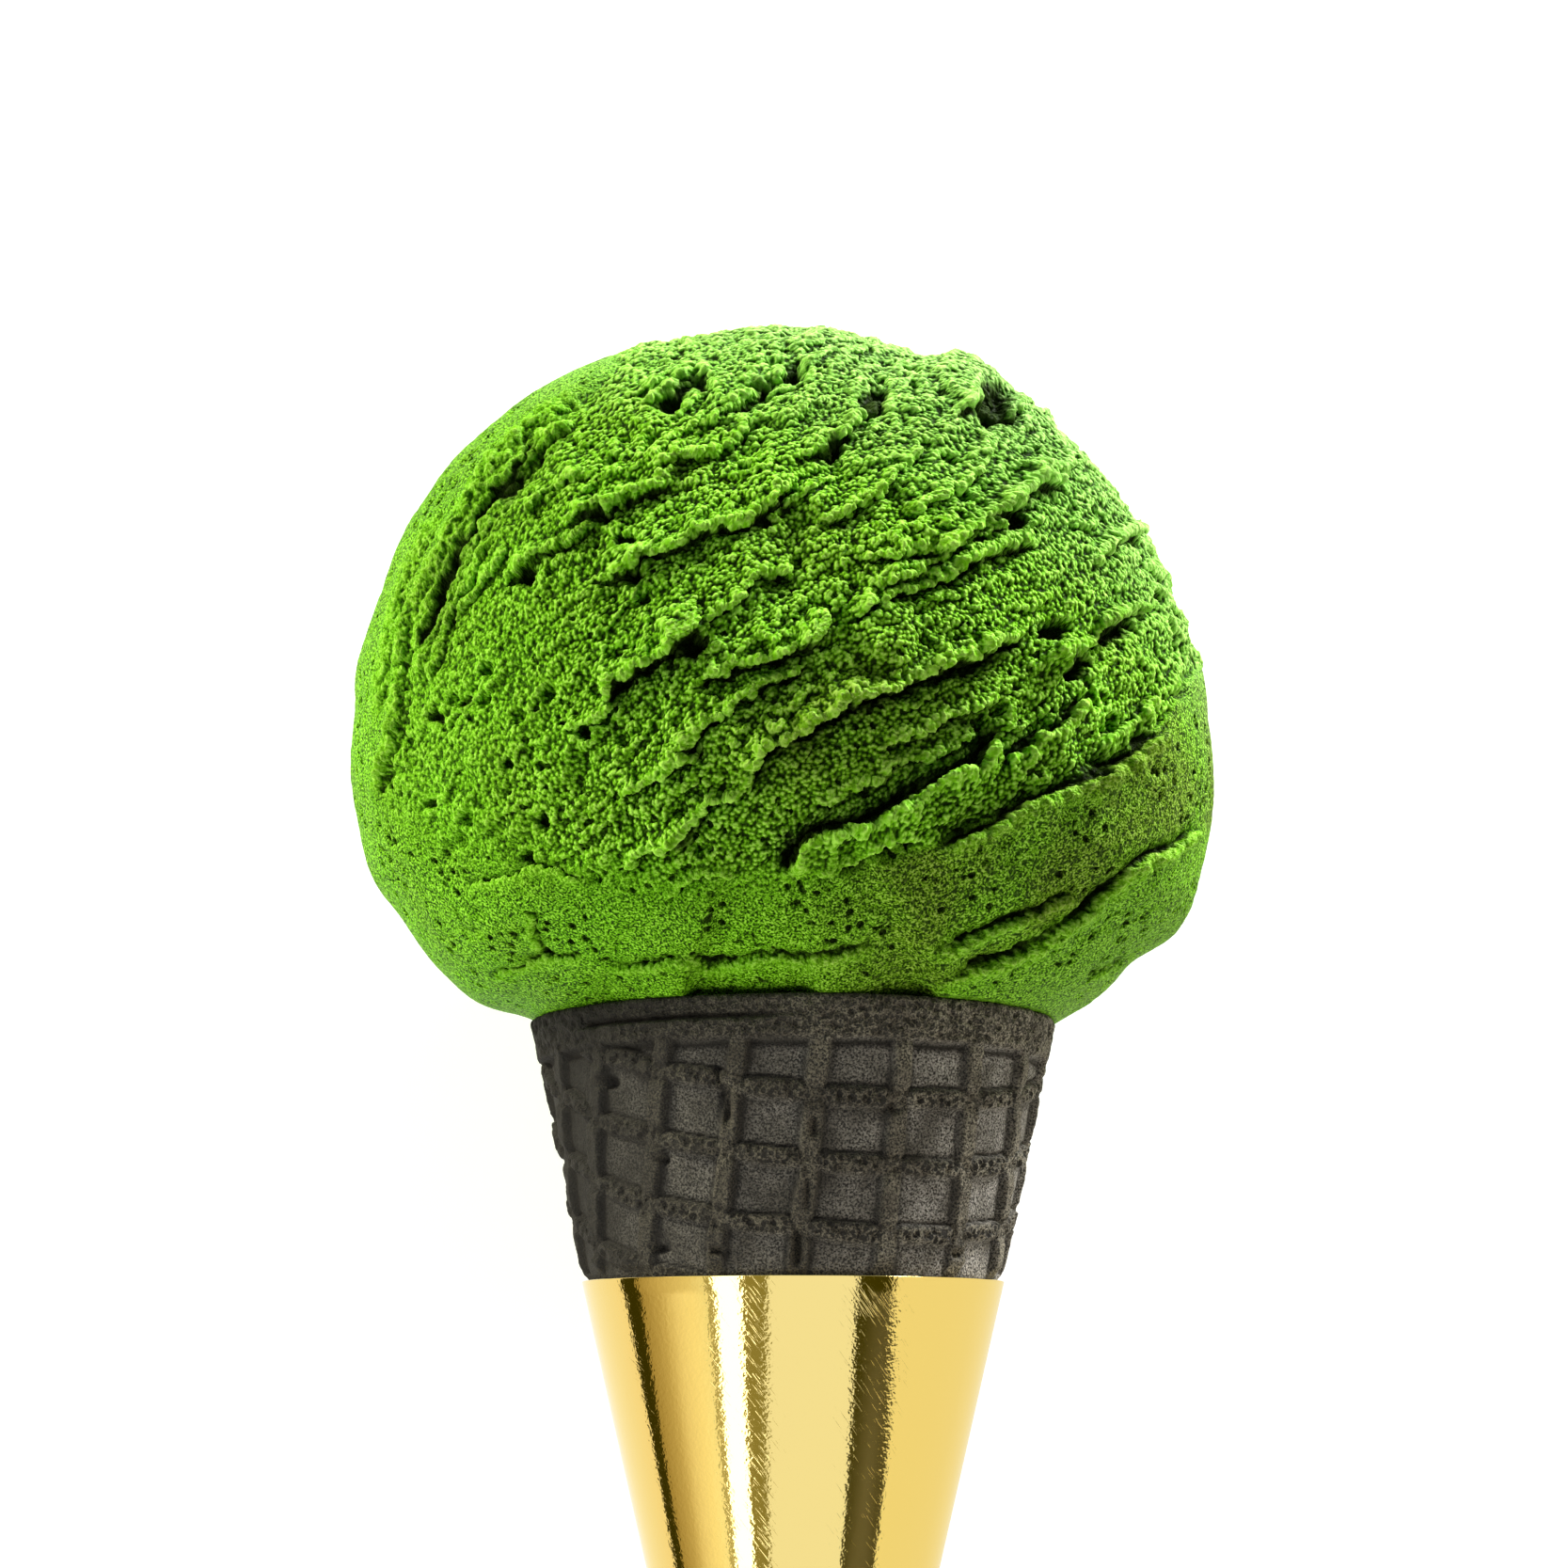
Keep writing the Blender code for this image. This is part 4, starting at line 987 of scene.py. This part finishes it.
sleeve_rings = []
for turn in np.radians((28.0, 55.0, 77.0)):
    height = BALL_HEIGHT - TIP_BALL * math.cos(turn)
    sleeve_rings.append(standing(sleeve_azimuth, TIP_BALL * math.sin(turn), height))
for share in np.linspace(0.09, 1.0, 50):
    height = (top_edge - 0.08) * share
    sleeve_rings.append(standing(sleeve_azimuth, sleeve_outside(sleeve_azimuth, height), height))
top_radius = sleeve_outside(sleeve_azimuth, top_edge)
for inset, drop in ((0.06, 0.0), (CARD - 0.06, 0.0), (CARD, 0.08)):
    sleeve_rings.append(standing(sleeve_azimuth, top_radius - inset, top_edge - drop))
for share in (0.98, 0.7, 0.4, 0.16):
    sleeve_rings.append(standing(sleeve_azimuth, side_radius(top_edge * share) - CARD, top_edge * share))
sleeve_points, sleeve_faces = closed_skin(
    np.array(sleeve_rings), (0, 0, BALL_HEIGHT - TIP_BALL), (0, 0, 10.5),
)
around = np.degrees(np.arctan2(sleeve_points[:, 0], -sleeve_points[:, 1]))
worn = 0.55 * hill((around + 10.0) / 3.2)
worn += hill((around - 22.0) / 6.0) * ease(SLEEVE_TOP - 4.6, SLEEVE_TOP - 3.4, sleeve_points[:, 2])
worn *= ease(SLEEVE_TOP - 0.6, SLEEVE_TOP - 1.4, sleeve_points[:, 2])


def gold_foil(tree):
    """Gold foil on card: a clean warm mirror with the card's faint tooth and hairline scuffs, which
    lie close together where the foil was rubbed."""
    place = add_node(tree, "TexCoord").outputs["Object"]
    in_mm = add_node(tree, "VectorMath", {0: place, "Scale": 1000.0}, operation="SCALE")
    rubbed = add_node(tree, "Attribute", attribute_name="worn").outputs["Fac"]
    tooth = add_node(tree, "TexNoise", {"Vector": in_mm, "Scale": 2.8, "Detail": 1.0, "Roughness": 0.6})
    turned = add_node(tree, "Mapping", {
        "Vector": in_mm, "Rotation": (0.0, 0.0, 0.7), "Scale": (0.1, 2.0, 2.0),
    }, vector_type="TEXTURE")
    hairlines = add_node(tree, "TexNoise", {"Vector": turned, "Scale": 1.0, "Detail": 1.0})
    fewest = add_node(tree, "MapRange", {"Value": rubbed, "To Min": 0.66, "To Max": 0.46})
    strongest = add_node(tree, "MapRange", {"Value": rubbed, "To Min": 0.15, "To Max": 0.7})
    scratch = add_node(tree, "MapRange", {
        "Value": hairlines, "From Min": fewest, "From Max": 0.76, "To Max": strongest,
    })
    marked = add_node(tree, "Math", {0: tooth, 1: scratch}, operation="SUBTRACT")
    bump = add_node(tree, "Bump", {"Height": marked, "Strength": 1.0, "Distance": 0.000012})
    roughness = add_node(tree, "MapRange", {"Value": scratch, "To Min": 0.06, "To Max": 0.26})
    return add_node(tree, "BsdfPrincipled", {
        "Base Color": linear("#F8E296"), "Metallic": 1.0, "Roughness": roughness, "Normal": bump,
    })


sleeve = new_surface("foil_card_sleeve", on_table(sleeve_points), sleeve_faces, worn=worn)
sleeve.data.materials.append(new_material("gold foil card", gold_foil))
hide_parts("foil_sleeve")
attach(sleeve, "root")
